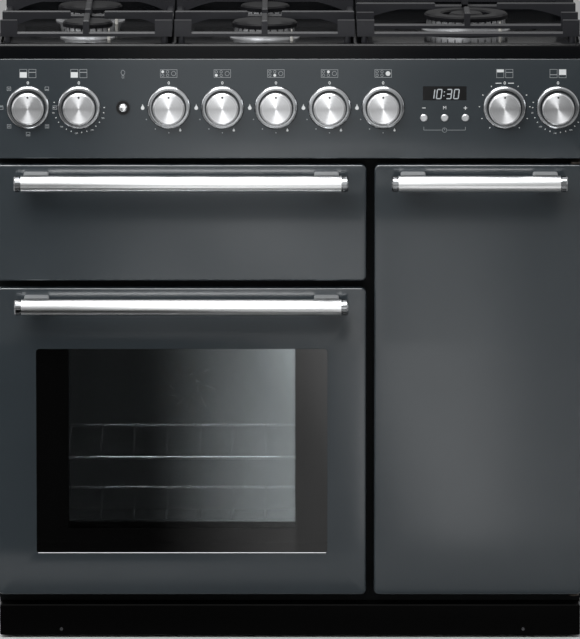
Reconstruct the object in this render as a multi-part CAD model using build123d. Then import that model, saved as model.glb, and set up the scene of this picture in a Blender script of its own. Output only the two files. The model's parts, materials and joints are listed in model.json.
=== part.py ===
from build123d import *
import os
from math import cos, radians, sin

# A 90 cm dual-fuel range cooker. Millimetres, +Z up, the doors face -Y, and the origin is on the floor
# under the middle of the whole depth. "d" is a distance behind the faces of the doors.

# Heights, from the floor up.
PLINTH_LIFT = 4.0
PLINTH_HEIGHT = 48.0
PLINTH_GAP = 16.0
OVEN_DOOR_HEIGHT = 479.0
LEFT_DOOR_GAP = 11.0
GRILL_DOOR_HEIGHT = 180.0
PANEL_GAP = 9.5
PANEL_HEIGHT = 154.5
LIP_HEIGHT = 23.0

# Widths, from left to right.
LEFT_DOOR_WIDTH = 567.0
DOOR_GAP = 12.5
RIGHT_DOOR_WIDTH = 320.5

# Depths, from the faces of the doors to the back.
BODY_DEPTH = 608.0
VENT_DEPTH = 63.0
BACK_RECESS = 41.0
DOOR_DEPTH = 22.0
LINER_DEPTH = 14.0
SEAL_THICKNESS = 3.0
SEAL_GAP = 0.4
CAVITY_DEPTH = 410.0
GRILL_DEPTH = 380.0

# Sheet metal and clearances.
SHEET = 1.2
FRAME_SHEET = 1.5
FLANGE = 18.0
FIT = 0.3
DOOR_CORNER = 8.0
DOOR_EDGE = 3.0
PANEL_CORNER = 3.0
PANEL_EDGE = 2.0
OVERCUT = 1.0
PLINTH_SIDE = 2.0
PLINTH_SETBACK = 2.0
COMPARTMENT_MARGIN = 10.0
FRAME_FOOT = 22.0
VENT_SLOTS = 16
VENT_SLOT_HEIGHT = 40.0
VENT_SLOT_WIDTH = 8.0
VENT_SLOT_DROP = 110.0
VENT_TOP_SLOTS = 22
VENT_TOP_SLOT = 22.0

# Openings of the ovens, measured in from the edges of their doors.
OVEN_SIDE_MARGIN = 43.5
OVEN_BOTTOM_MARGIN = 52.0
OVEN_TOP_MARGIN = 27.0
GRILL_SIDE_STEP = 10.0
GRILL_BOTTOM_MARGIN = 17.0
GRILL_TOP_MARGIN = 16.0
TALL_SIDE_MARGIN = 35.5
TALL_BOTTOM_MARGIN = 42.0
TALL_TOP_MARGIN = 23.0

# Oven window.
WINDOW_SIDE_MARGIN = 59.5
WINDOW_TOP_MARGIN = 95.0
WINDOW_BOTTOM_MARGIN = 65.0
WINDOW_CORNER = 5.0
WINDOW_EDGE = 0.8
GLASS = 4.0
GLASS_OVERLAP = 14.0
INNER_WINDOW_SIDE = 49.0
INNER_WINDOW_BOTTOM = 48.0

# Bar handles.
BAR_DIAMETER = 25.0
BAR_STANDOFF = 46.0
BAR_DROP = 23.0
BAR_CAP = 10.5
BAR_CAP_GROOVE = 2.0
POST_WIDTH = 38.0
POST_HEIGHT = 20.0
POST_INSET = 14.0
LEFT_BAR_MARGIN = 28.0
RIGHT_BAR_MARGIN = 26.0

# Door hinges.
PIN_DIAMETER = 8.0
OVEN_HINGE_RISE = 16.0
TALL_HINGE_INSET = 12.0
HINGE_DEPTH = 14.0
HINGE_INSET = 70.0
HINGE_PLATE = 6.0
HINGE_EAR = 3.0
HINGE_EAR_RADIUS = 7.0
TALL_HINGE_PLATE = 3.0
TALL_PIN_LENGTH = 9.0
EAR_GAP = 1.0
HINGE_PLATE_HEIGHT = 12.0
LINER_INSET = 0.5
LINER_HINGE_ROOM = 12.0

# Control panel. Places along it run from its left or right edge.
KNOB_DROP = 75.5
OVEN_KNOB_EDGE = 49.0
OVEN_KNOB_PITCH = 78.0
LIGHT_EDGE = 194.5
HOB_KNOB_EDGE = 264.5
HOB_KNOB_PITCH = 82.0
CLOCK_SHIFT = 1.2
GRILL_KNOB_EDGE = 121.5
TALL_KNOB_EDGE = 40.0
KNOB_DIAMETER = 49.0
KNOB_REACH = 23.0
KNOB_WALL = 2.4
KNOB_HUB = 18.0
KNOB_LIFT = 1.5
KNOB_DIMPLE = 3.4
BEZEL_DIAMETER = 67.0
BEZEL_BORE = 54.0
BEZEL_HEIGHT = 5.0
BEZEL_LAND = 1.5
SHAFT_DIAMETER = 8.0
SHAFT_HOLE = 12.0
SHAFT_END = 7.0
LIGHT_RING = 21.0
LIGHT_BUTTON = 12.5
LIGHT_TRAVEL = 3.0
DISPLAY_WIDTH = 66.6
DISPLAY_HEIGHT = 21.4
DISPLAY_RISE = 22.0
CLOCK_BUTTON = 11.0
CLOCK_BUTTON_PITCH = 31.8
CLOCK_BUTTON_DROP = 16.0
CLOCK_TRAVEL = 1.2
BUTTON_REACH = 2.4
BUTTON_FLANGE = 1.6
BUTTON_ROUND = 1.0
LIGHT_HOUSING = 17.0
LIGHT_DEPTH = 10.0
SWITCH_SIZE = 44.0
SWITCH_DEPTH = 36.0
CLOCK_DEPTH = 34.0
CLOCK_MARGIN = 14.0

# Gas rail and valves.
RAIL_DIAMETER = 18.0
RAIL_DEPTH = 84.0
RAIL_BEND = 40.0
INLET_EDGE = 60.0
INLET_DIAMETER = 21.0
INLET_LENGTH = 24.0
VALVE_WIDTH = 30.0
VALVE_HEIGHT = 26.0
VALVE_DEPTH = 46.0
CABLE_BORE = 20.0
PIPE = 8.0
PIPE_BEND = 8.0
PIPE_SETBACK = 16.0
PIPE_DROP = 14.0
LOW_PIPE_DROP = 27.0

# Hob, burners and pan supports.
WELL_DEPTH = 9.0
WELL_MARGIN = 7.0
HOB_EDGE = 5.0
VENT_HEIGHT = 48.0
SUPPORT_SIDE_MARGIN = 6.0
SUPPORT_FRONT = 28.0
SUPPORT_DEPTH = 442.0
SUPPORT_GAP = 4.0
LEFT_SUPPORT_WIDTH = 263.0
CENTRE_SUPPORT_WIDTH = 276.0
SUPPORT_BAR = 11.0
SUPPORT_BAR_HEIGHT = 7.0
BAR_CHAMFER = 2.5
SUPPORT_LIFT = 16.0
SUPPORT_HEIGHT = 41.0
FINGER_WIDTH = 9.0
FINGER_NOSE = 9.0
FINGER_ROOT = 15.0
FINGER_CHAMFER = 1.5
ARCH_DIP = 1.0
FINGER_CLEAR = 26.0
WOK_FINGER_CLEAR = 48.0
WOK_BAR_SPREAD = 120.0
LUG_LENGTH = 26.0
FOOT_DIAMETER = 10.0
BURNER_SPREAD = 204.0
DISH_DIAMETER = 220.0
DISH_DEPTH = 2.5
SMALL_CAP = 77.0
LARGE_CAP = 100.0
WOK_CAP = 130.0
WOK_CAP_BORE = 76.0
WOK_INNER_CAP = 52.0
BURNER_NECK = 0.36
BURNER_CUP_DROP = 34.0
BURNER_FLANGE = 4.0
BURNER_FLANGE_HEIGHT = 3.0
BURNER_HEAD_HEIGHT = 15.0
CROWN_DRAFT = 1.0
CAP_HEIGHT = 8.0
CAP_LIP = 4.0
CAP_ROUND = 2.5
FLAME_SLOT = 2.6
FLAME_SLOT_HEIGHT = 8.0
FLAME_PITCH = 4.0
ELECTRODE = 5.0
ELECTRODE_TIP = 2.0
ELECTRODE_ANGLE = 45.0

# Feet and rollers.
BASE_GAP = 4.0
BASE_FLANGE = 25.0
FOOT_PAD = 40.0
FOOT_PAD_HEIGHT = 10.0
FOOT_STEM = 12.0
FOOT_EDGE = 60.0
FOOT_SETBACK = 90.0
ROLLER_DIAMETER = 44.0
ROLLER_WIDTH = 22.0
ROLLER_AXLE = 8.0
ROLLER_EDGE = 90.0
ROLLER_INSET = 108.0
ROLLER_PLAY = 1.0
ROLLER_ROUND = 2.0
ROLLER_EAR = 3.0

# Oven furniture.
WIRE = 6.0
OVEN_RACK_LEVELS = 4
TALL_RACK_LEVELS = 6
RACK_FIRST = 42.0
RACK_END = 30.0
RACK_STANDOFF = 9.0
SHELF_WIRE = 4.0
SHELF_CORNER = 15.0
SHELF_PITCH = 50.0
FAN_DIAMETER = 130.0
FAN_BLADES = 9
FAN_SPACE = 26.0
MOTOR_DIAMETER = 78.0
MOTOR_LENGTH = 48.0
MOTOR_HOLE = 12.0
COVER_MARGIN = 20.0
COVER_SLOTS = 10
FAN_GAP = 4.0
FAN_HUB = 20.0
FAN_SWEEP = 25.0
BLADE_HEIGHT = 13.0
SEAL_OUTER = 11.0
SEAL_INNER = 2.0

# Grill furniture.
RUNNER = 10.0
RUNNER_RISE = 40.0
RUNNER_HEIGHT = 6.0
RAIL_BAR = 12.0
RAIL_BAR_HEIGHT = 10.0
RAIL_SIDE = 1.0
ELEMENT = 8.0
ELEMENT_DROP = 16.0
ELEMENT_PITCH = 60.0
ELEMENT_FRONT = 50.0
ELEMENT_TAIL = 20.0
ELEMENT_BEND = 27.0
PAN_DEPTH = 34.0
PAN_FRONT = 70.0
PAN_RIM = 8.0
PAN_CORNER = 25.0

# Places that follow from the sizes above.
PLINTH_TOP = PLINTH_LIFT + PLINTH_HEIGHT
DOOR_BOTTOM = PLINTH_TOP + PLINTH_GAP
OVEN_DOOR_TOP = DOOR_BOTTOM + OVEN_DOOR_HEIGHT
GRILL_DOOR_BOTTOM = OVEN_DOOR_TOP + LEFT_DOOR_GAP
DOOR_TOP = GRILL_DOOR_BOTTOM + GRILL_DOOR_HEIGHT
PANEL_BOTTOM = DOOR_TOP + PANEL_GAP
PANEL_TOP = PANEL_BOTTOM + PANEL_HEIGHT
HOB_TOP = PANEL_TOP + LIP_HEIGHT
WELL_FLOOR = HOB_TOP - WELL_DEPTH
BASE_FLOOR = PLINTH_TOP + BASE_GAP

LEFT = -(LEFT_DOOR_WIDTH + DOOR_GAP + RIGHT_DOOR_WIDTH) / 2
RIGHT = -LEFT
LEFT_DOOR = (LEFT, LEFT + LEFT_DOOR_WIDTH)
RIGHT_DOOR = (RIGHT - RIGHT_DOOR_WIDTH, RIGHT)
OVEN_DOOR_Z = (DOOR_BOTTOM, OVEN_DOOR_TOP)
GRILL_DOOR_Z = (GRILL_DOOR_BOTTOM, DOOR_TOP)
TALL_DOOR_Z = (DOOR_BOTTOM, DOOR_TOP)

HANDLE_REACH = BAR_STANDOFF + BAR_DIAMETER / 2
FRONT_Y = (HANDLE_REACH - BODY_DEPTH) / 2
DOOR_BACK = DOOR_DEPTH + LINER_DEPTH
FRAME_FRONT = DOOR_BACK + SEAL_GAP + SEAL_THICKNESS
FRAME_BACK = FRAME_FRONT + FRAME_SHEET
BACK_PANEL = BODY_DEPTH - BACK_RECESS
HOB_DEPTH = BODY_DEPTH - VENT_DEPTH
ROLLER_SETBACK = BODY_DEPTH - ROLLER_INSET

KNOB_Z = PANEL_TOP - KNOB_DROP
HOB_KNOB_X = [LEFT + HOB_KNOB_EDGE + HOB_KNOB_PITCH * i for i in range(5)]
OVEN_KNOB_X = [LEFT + OVEN_KNOB_EDGE + OVEN_KNOB_PITCH * i for i in range(2)]
RIGHT_KNOB_X = [RIGHT - GRILL_KNOB_EDGE, RIGHT - TALL_KNOB_EDGE]
LIGHT_X = LEFT + LIGHT_EDGE
CLOCK_X = (HOB_KNOB_X[-1] + RIGHT_KNOB_X[0]) / 2 + CLOCK_SHIFT
CLOCK_BUTTON_X = [CLOCK_X + CLOCK_BUTTON_PITCH * i for i in (-1, 0, 1)]
CLOCK_BUTTON_Z = KNOB_Z - CLOCK_BUTTON_DROP
DISPLAY_Z = KNOB_Z + DISPLAY_RISE

SUPPORT_FLOOR = WELL_FLOOR + FIT
SUPPORT_BACK = SUPPORT_FRONT + SUPPORT_DEPTH
SUPPORT_MIDDLE = SUPPORT_FRONT + SUPPORT_DEPTH / 2
LEFT_SUPPORT_X = (LEFT + SUPPORT_SIDE_MARGIN, LEFT + SUPPORT_SIDE_MARGIN + LEFT_SUPPORT_WIDTH)
CENTRE_SUPPORT_LEFT = LEFT_SUPPORT_X[1] + SUPPORT_GAP
CENTRE_SUPPORT_X = (CENTRE_SUPPORT_LEFT, CENTRE_SUPPORT_LEFT + CENTRE_SUPPORT_WIDTH)
RIGHT_SUPPORT_X = (CENTRE_SUPPORT_X[1] + SUPPORT_GAP, RIGHT - SUPPORT_SIDE_MARGIN)


def inset(x, z, side, bottom, top):
    """The opening that lies inside a door's outline by the given margins."""
    return (x[0] + side, x[1] - side), (z[0] + bottom, z[1] - top)


def middle(span):
    return (span[0] + span[1]) / 2


def grown(span, by):
    """A span made longer by the same amount at both ends."""
    return (span[0] - by, span[1] + by)


OVEN_X, OVEN_Z = inset(LEFT_DOOR, OVEN_DOOR_Z, OVEN_SIDE_MARGIN, OVEN_BOTTOM_MARGIN, OVEN_TOP_MARGIN)
GRILL_SIDE_MARGIN = OVEN_SIDE_MARGIN + GRILL_SIDE_STEP
GRILL_X, GRILL_Z = inset(LEFT_DOOR, GRILL_DOOR_Z, GRILL_SIDE_MARGIN, GRILL_BOTTOM_MARGIN, GRILL_TOP_MARGIN)
TALL_X, TALL_Z = inset(RIGHT_DOOR, TALL_DOOR_Z, TALL_SIDE_MARGIN, TALL_BOTTOM_MARGIN, TALL_TOP_MARGIN)
WINDOW_X = grown(LEFT_DOOR, -WINDOW_SIDE_MARGIN)
WINDOW_Z = (OVEN_DOOR_Z[0] + WINDOW_BOTTOM_MARGIN, OVEN_DOOR_Z[1] - WINDOW_TOP_MARGIN)
CAVITY_D = (FRAME_BACK, FRAME_BACK + CAVITY_DEPTH)
GRILL_D = (FRAME_BACK, FRAME_BACK + GRILL_DEPTH)


# Forms used by many pieces.

def behind(d):
    """The Y of a distance behind the faces of the doors."""
    return FRONT_Y + d


def block(x, d, z):
    """A box from its ends across, its distances behind the door faces and its heights."""
    size = Box(x[1] - x[0], d[1] - d[0], z[1] - z[0])
    return Pos(middle(x), behind(middle(d)), middle(z)) * size


def slab(x, d, z, corner):
    """A block whose four corners, seen from the front, are round."""
    face = RectangleRounded(x[1] - x[0], z[1] - z[0], corner)
    return Pos(middle(x), behind(d[1]), middle(z)) * Rot(90, 0, 0) * extrude(face, d[1] - d[0])


def soft_slab(x, d, z, corner, edge):
    """A slab whose front edges are rolled over."""
    solid = slab(x, d, z, corner)
    return fillet(solid.faces().sort_by(Axis.Y)[0].edges(), edge)


def pressing(x, d, z, corner, edge, sheet=SHEET):
    """A pan pressed from sheet, open at the back, with rolled front edges."""
    outer = soft_slab(x, d, z, corner, edge)
    inner_d = (d[0] + sheet, d[1] + sheet)
    inner = soft_slab(grown(x, -sheet), inner_d, grown(z, -sheet), corner - sheet, edge - sheet)
    return outer - inner


def liner_box(x, d, z, sheet=SHEET):
    """An oven lining: five sheet walls round a cavity that is open at the front."""
    return block(grown(x, sheet), (d[0], d[1] + sheet), grown(z, sheet)) - block(x, (d[0] - sheet, d[1]), z)


def rod_y(x, z, d, diameter):
    """A round bar from front to back."""
    return Pos(x, behind(middle(d)), z) * Rot(90, 0, 0) * Cylinder(diameter / 2, d[1] - d[0])


def rod_x(x, d, z, diameter):
    """A round bar from left to right."""
    return Pos(middle(x), behind(d), z) * Rot(0, 90, 0) * Cylinder(diameter / 2, x[1] - x[0])


def rod_z(x, d, z, diameter):
    """An upright round bar."""
    return Pos(x, behind(d), middle(z)) * Cylinder(diameter / 2, z[1] - z[0])


def turned_y(x, z, outline):
    """A turned piece on a front-to-back axis, from points of radius and d."""
    return Pos(x, FRONT_Y, z) * revolve(make_face(Polyline(*outline, close=True)), Axis.Y)


def turned_z(x, d, outline):
    """A turned piece on an upright axis, from points of radius and height."""
    return Pos(x, behind(d), 0) * revolve(Plane.XZ * make_face(Polyline(*outline, close=True)), Axis.Z)


def turned_x(x, d, z, outline):
    """A turned piece on a left-to-right axis, from points of place along it and radius."""
    return Pos(x, behind(d), z) * revolve(make_face(Polyline(*outline, close=True)), Axis.X)


# Cabinet.

INSIDE = (LEFT + SHEET, RIGHT - SHEET)
ROLLER_X = [LEFT + ROLLER_EDGE, RIGHT - ROLLER_EDGE]
ROLLER_Z = ROLLER_DIAMETER / 2
ROLLER_EAR_SPACE = ROLLER_WIDTH / 2 + ROLLER_PLAY


def roller_ear(x):
    """A plate under the base with a bore for a roller's axle."""
    plate = Rectangle(ROLLER_DIAMETER, BASE_FLOOR - ROLLER_Z, align=(Align.CENTER, Align.MIN))
    plate += Circle(ROLLER_AXLE)
    plate -= Circle(ROLLER_AXLE / 2 + FIT)
    return Pos(x, behind(ROLLER_SETBACK), ROLLER_Z) * extrude(Plane.YZ * plate, ROLLER_EAR)


def make_base_tray():
    """The floor of the cabinet, a shallow tray, with the ears for the rollers welded under it."""
    x = INSIDE
    d = (FRAME_BACK + SHEET, BACK_PANEL)
    tray = block(x, d, (BASE_FLOOR, BASE_FLOOR + BASE_FLANGE))
    tray -= block(grown(x, -SHEET), grown(d, -SHEET), (BASE_FLOOR + SHEET, BASE_FLOOR + 2 * BASE_FLANGE))
    ears = []
    for centre in ROLLER_X:
        ears.append(roller_ear(centre + ROLLER_EAR_SPACE))
        ears.append(roller_ear(centre - ROLLER_EAR_SPACE - ROLLER_EAR))
    return [tray] + ears


def make_side_panel():
    """The right side: a folded sheet with flanges behind the front frame and at the back."""
    z = (BASE_FLOOR, PANEL_TOP)
    folded = block((RIGHT - FLANGE, RIGHT), (FRAME_BACK, BODY_DEPTH), z)
    hollow_d = (FRAME_BACK + SHEET, BODY_DEPTH - SHEET)
    folded -= block((RIGHT - 2 * FLANGE, RIGHT - SHEET), hollow_d, grown(z, SHEET))
    return folded + block((RIGHT - SHEET, RIGHT), (FRAME_FRONT, FRAME_BACK), z)


INLET_X = RIGHT - INLET_EDGE
INLET_Z = KNOB_Z
CABLE_X = LEFT + INLET_EDGE


def make_back_panel():
    z = (BASE_FLOOR + BASE_FLANGE, PANEL_TOP)
    d = (BACK_PANEL, BACK_PANEL + SHEET)
    sheet = block(INSIDE, d, z)
    foot = block(INSIDE, d, (BASE_FLOOR, z[0]))
    pitch = (INSIDE[1] - INSIDE[0]) / (VENT_SLOTS + 4)
    through = grown(d, OVERCUT)
    slot_top = PANEL_TOP - VENT_SLOT_DROP
    slots = []
    for i in range(VENT_SLOTS):
        x = pitch * (i - (VENT_SLOTS - 1) / 2)
        slot_x = grown((x, x), VENT_SLOT_WIDTH / 2)
        slots.append(block(slot_x, through, (slot_top - VENT_SLOT_HEIGHT, slot_top)))
    inlet_hole = rod_y(INLET_X, INLET_Z, through, RAIL_DIAMETER + 2 * FIT)
    cable_hole = rod_y(CABLE_X, INLET_Z, through, CABLE_BORE)
    return sheet + foot - slots - inlet_hole - cable_hole


def make_front_frame():
    """The frame round the ovens, the grill and the space behind the control panel, welded from flat rails."""
    d = (FRAME_FRONT, FRAME_BACK)
    foot = PLINTH_TOP - FRAME_FOOT
    room = grown((PANEL_BOTTOM, PANEL_TOP), -COMPARTMENT_MARGIN)
    post_x = (OVEN_X[1], TALL_X[0])
    left_x = (INSIDE[0], post_x[0])
    right_x = (post_x[1], INSIDE[1])
    rails = [
        (post_x, (foot, room[0])),
        (left_x, (foot, OVEN_Z[0])),
        (left_x, (OVEN_Z[1], GRILL_Z[0])),
        (left_x, (GRILL_Z[1], room[0])),
        ((INSIDE[0], OVEN_X[0]), OVEN_Z),
        ((INSIDE[0], GRILL_X[0]), GRILL_Z),
        ((GRILL_X[1], post_x[0]), GRILL_Z),
        (right_x, (foot, TALL_Z[0])),
        (right_x, (TALL_Z[1], room[0])),
        ((TALL_X[1], INSIDE[1]), TALL_Z),
        ((INSIDE[0], INSIDE[0] + FLANGE), room),
        ((INSIDE[1] - FLANGE, INSIDE[1]), room),
        (INSIDE, (room[1], PANEL_TOP)),
    ]
    return [block(x, d, z) for x, z in rails]


def make_control_panel():
    d = (0, FRAME_FRONT)
    panel = pressing((LEFT, RIGHT), d, (PANEL_BOTTOM, PANEL_TOP), PANEL_CORNER, PANEL_EDGE)
    face = (-SHEET, 2 * SHEET)
    for x in HOB_KNOB_X + OVEN_KNOB_X + RIGHT_KNOB_X:
        panel -= rod_y(x, KNOB_Z, face, SHAFT_HOLE)
    panel -= rod_y(LIGHT_X, KNOB_Z, face, LIGHT_HOUSING + 2 * FIT)
    for x in CLOCK_BUTTON_X:
        panel -= rod_y(x, CLOCK_BUTTON_Z, face, CLOCK_BUTTON + 2 * FIT)
    window_x = grown((CLOCK_X, CLOCK_X), DISPLAY_WIDTH / 2)
    window_z = grown((DISPLAY_Z, DISPLAY_Z), DISPLAY_HEIGHT / 2)
    return panel - block(window_x, face, window_z)


def make_plinth():
    """The kick plate, a pan whose flanges reach back to the front frame."""
    x = grown((LEFT, RIGHT), -PLINTH_SIDE)
    return pressing(x, (PLINTH_SETBACK, FRAME_FRONT), (PLINTH_LIFT, PLINTH_TOP), PANEL_CORNER, PANEL_EDGE)


def make_front_feet():
    """Screw feet: a round pad, a nut and a stem up to the base."""
    outline = [
        (0, 0),
        (FOOT_PAD / 2, 0),
        (FOOT_PAD / 2, FOOT_PAD_HEIGHT / 2),
        (FOOT_STEM, FOOT_PAD_HEIGHT),
        (FOOT_STEM / 2, FOOT_PAD_HEIGHT),
        (FOOT_STEM / 2, BASE_FLOOR),
        (0, BASE_FLOOR),
    ]
    return [turned_z(x, FOOT_SETBACK, outline) for x in (LEFT + FOOT_EDGE, RIGHT - FOOT_EDGE)]


def make_rear_rollers():
    """Nylon wheels, each in one piece with the steel axle that turns in its ears."""
    half = ROLLER_WIDTH / 2
    end = ROLLER_EAR_SPACE + ROLLER_EAR
    crown = ROLLER_DIAMETER / 2
    outline = [
        (-end, 0),
        (-end, ROLLER_AXLE / 2),
        (-half, ROLLER_AXLE / 2),
        (-half, crown - ROLLER_ROUND),
        (ROLLER_ROUND - half, crown),
        (half - ROLLER_ROUND, crown),
        (half, crown - ROLLER_ROUND),
        (half, ROLLER_AXLE / 2),
        (end, ROLLER_AXLE / 2),
        (end, 0),
    ]
    return [turned_x(x, ROLLER_SETBACK, ROLLER_Z, outline) for x in ROLLER_X]


# Hob.

COLUMN_X = [middle(LEFT_SUPPORT_X), middle(CENTRE_SUPPORT_X), middle(RIGHT_SUPPORT_X)]
FRONT_BURNER_D = SUPPORT_MIDDLE - BURNER_SPREAD / 2
REAR_BURNER_D = SUPPORT_MIDDLE + BURNER_SPREAD / 2

# Burners: place across, place behind the door faces, diameter of the cap.
BURNERS = [
    (COLUMN_X[0], FRONT_BURNER_D, SMALL_CAP),
    (COLUMN_X[0], REAR_BURNER_D, LARGE_CAP),
    (COLUMN_X[1], FRONT_BURNER_D, LARGE_CAP),
    (COLUMN_X[1], REAR_BURNER_D, SMALL_CAP),
    (COLUMN_X[2], SUPPORT_MIDDLE, WOK_CAP),
]
CAP_SEAT = WELL_FLOOR + BURNER_FLANGE_HEIGHT + BURNER_HEAD_HEIGHT


def neck_radius(cap):
    return cap * BURNER_NECK


def make_hob_tray():
    """The pressed hob: a rolled rim, a spill well and a shallow dish round the wok burner."""
    x = (LEFT, RIGHT)
    d = (0, HOB_DEPTH)
    z = (PANEL_TOP, HOB_TOP)
    well_x = grown(x, -WELL_MARGIN)
    well_d = grown(d, -WELL_MARGIN - HOB_EDGE)
    outer = block(x, d, z)
    outer = fillet(outer.edges().filter_by(Axis.Z), DOOR_CORNER)
    outer = fillet(outer.faces().sort_by(Axis.Z)[-1].edges(), HOB_EDGE)
    well = block(well_x, well_d, (WELL_FLOOR, HOB_TOP + SHEET))
    well = fillet(well.edges().filter_by(Axis.Z), DOOR_CORNER + HOB_EDGE)
    hollow = block(grown(x, -SHEET), grown(d, -SHEET), (PANEL_TOP - SHEET, WELL_FLOOR - SHEET - DISH_DEPTH))
    tray = outer - well - hollow
    wok_x, wok_d, wok_cap = BURNERS[-1]
    dish = (WELL_FLOOR - DISH_DEPTH, WELL_FLOOR + SHEET)
    tray -= rod_z(wok_x, wok_d, dish, DISH_DIAMETER)
    island = wok_cap + 2 * (BURNER_FLANGE + 2 * ELECTRODE)
    tray += rod_z(wok_x, wok_d, (dish[0], WELL_FLOOR), island)
    for burner_x, burner_d, cap in BURNERS:
        tray -= rod_z(burner_x, burner_d, (PANEL_TOP, HOB_TOP), 2 * (neck_radius(cap) + FIT))
    return tray


def make_rear_vent():
    """The low flue upstand behind the hob, folded from sheet, with slots along its top."""
    x = (LEFT, RIGHT)
    d = (HOB_DEPTH, BODY_DEPTH)
    z = (PANEL_TOP, HOB_TOP + VENT_HEIGHT)
    shell = block(x, d, z)
    shell = fillet(shell.edges().filter_by(Axis.X).group_by(Axis.Z)[-1], HOB_EDGE)
    shell -= block(grown(x, -SHEET), grown(d, -SHEET), (z[0] - SHEET, z[1] - SHEET))
    pitch = (x[1] - x[0]) / (VENT_TOP_SLOTS + 1)
    slots = []
    for i in range(VENT_TOP_SLOTS):
        centre = pitch * (i - (VENT_TOP_SLOTS - 1) / 2)
        slot_x = grown((centre, centre), VENT_TOP_SLOT / 2)
        slots.append(block(slot_x, grown(d, -FLANGE), (z[1] - 2 * SHEET, z[1] + SHEET)))
    return shell - slots


def flame_slots(x, d, radius, count):
    """Radial cuts through the rim of a burner head, open at the top."""
    cut = Box(4 * CAP_LIP, FLAME_SLOT, 2 * FLAME_SLOT_HEIGHT)
    turns = [Rot(0, 0, 360 * (i + 0.5) / count) for i in range(count)]
    return [Pos(x, behind(d), CAP_SEAT) * turn * Pos(radius, 0, 0) * cut for turn in turns]


def burner_base(x, d, cap):
    """A cast burner: a mixing cup under the hob, a flange on it and a slotted crown."""
    neck = neck_radius(cap)
    flange = WELL_FLOOR + BURNER_FLANGE_HEIGHT
    crown = cap / 2 - CAP_LIP
    outline = [
        (0, WELL_FLOOR - BURNER_CUP_DROP),
        (neck, WELL_FLOOR - BURNER_CUP_DROP),
        (neck, WELL_FLOOR),
        (cap / 2 + BURNER_FLANGE, WELL_FLOOR),
        (cap / 2 + BURNER_FLANGE, WELL_FLOOR + BURNER_FLANGE_HEIGHT / 2),
        (crown + CROWN_DRAFT, flange + CROWN_DRAFT),
        (crown, CAP_SEAT),
        (crown - CAP_LIP, CAP_SEAT),
        (crown - CAP_LIP, flange),
        (0, flange),
    ]
    if cap == WOK_CAP:
        ring = WOK_CAP_BORE / 2 + CAP_LIP
        inner = WOK_INNER_CAP / 2 - CAP_LIP / 2
        moat = [(ring, CAP_SEAT), (ring, flange), (inner, flange), (inner, CAP_SEAT)]
        outline = outline[:7] + moat + [(0, CAP_SEAT)]
    return turned_z(x, d, outline) - flame_slots(x, d, crown, round(cap / FLAME_PITCH))


def make_burner_bases():
    return [burner_base(*burner) for burner in BURNERS]


def cap_outline(outer, bore):
    top = CAP_SEAT + CAP_HEIGHT
    edge = [(outer / 2, CAP_SEAT), (outer / 2, top - CAP_ROUND), (outer / 2 - CAP_ROUND, top)]
    if bore == 0:
        return [(0, CAP_SEAT)] + edge + [(0, top)]
    return [(bore / 2, CAP_SEAT)] + edge + [(bore / 2 + CAP_ROUND, top), (bore / 2, top - CAP_ROUND)]


def make_burner_caps():
    caps = [turned_z(x, d, cap_outline(cap, 0)) for x, d, cap in BURNERS[:-1]]
    wok_x, wok_d, wok_cap = BURNERS[-1]
    caps.append(turned_z(wok_x, wok_d, cap_outline(wok_cap, WOK_CAP_BORE)))
    caps.append(turned_z(wok_x, wok_d, cap_outline(WOK_INNER_CAP, 0)))
    return caps


def make_spark_electrodes():
    """A ceramic post with a thin steel tip beside each burner, to its front right."""
    posts = []
    for x, d, cap in BURNERS:
        reach = cap / 2 + BURNER_FLANGE + ELECTRODE
        top = CAP_SEAT - ELECTRODE
        outline = [
            (0, WELL_FLOOR),
            (ELECTRODE / 2, WELL_FLOOR),
            (ELECTRODE / 2, top),
            (ELECTRODE_TIP / 2, top),
            (ELECTRODE_TIP / 2, CAP_SEAT),
            (0, CAP_SEAT),
        ]
        aside = reach * cos(radians(ELECTRODE_ANGLE))
        forward = reach * sin(radians(ELECTRODE_ANGLE))
        posts.append(turned_z(x + aside, d - forward, outline))
    return posts


# Pan supports.

BAR_BOTTOM = SUPPORT_FLOOR + SUPPORT_LIFT
BAR_TOP = BAR_BOTTOM + SUPPORT_BAR_HEIGHT
FINGER_TOP = SUPPORT_FLOOR + SUPPORT_HEIGHT


def finger(x, d, angle, length):
    """A cast rib that stands on the frame, runs level to its tip and is arched underneath."""
    low = FINGER_TOP - FINGER_NOSE
    root = (FINGER_ROOT, BAR_BOTTOM)
    tip = (length, low)
    arch = ThreePointArc(tip, ((length + FINGER_ROOT) / 2, low - ARCH_DIP), root)
    edges = Polyline(root, (0, BAR_BOTTOM), (0, FINGER_TOP), (length, FINGER_TOP), tip)
    along = (cos(radians(angle)), sin(radians(angle)), 0)
    upright = Plane(origin=(x, behind(d), 0), x_dir=along, z_dir=(along[1], -along[0], 0))
    rib = extrude(upright * make_face(edges + arch), FINGER_WIDTH / 2, both=True)
    return chamfer(rib.faces().sort_by(Axis.Z)[-1].edges(), FINGER_CHAMFER)


def cross_bar(x, d):
    """A bar across a support, sloped along its top edges."""
    bar = block(x, grown((d, d), SUPPORT_BAR / 2), (BAR_BOTTOM, BAR_TOP))
    return chamfer(bar.edges().filter_by(Axis.X).group_by(Axis.Z)[-1], BAR_CHAMFER)


def lug(x, inward, d):
    """A raised block at the end of a bar, where a pan bears on the support."""
    span = sorted((x, x + inward * LUG_LENGTH))
    return block(span, grown((d, d), SUPPORT_BAR / 2), (BAR_BOTTOM, FINGER_TOP))


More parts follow.
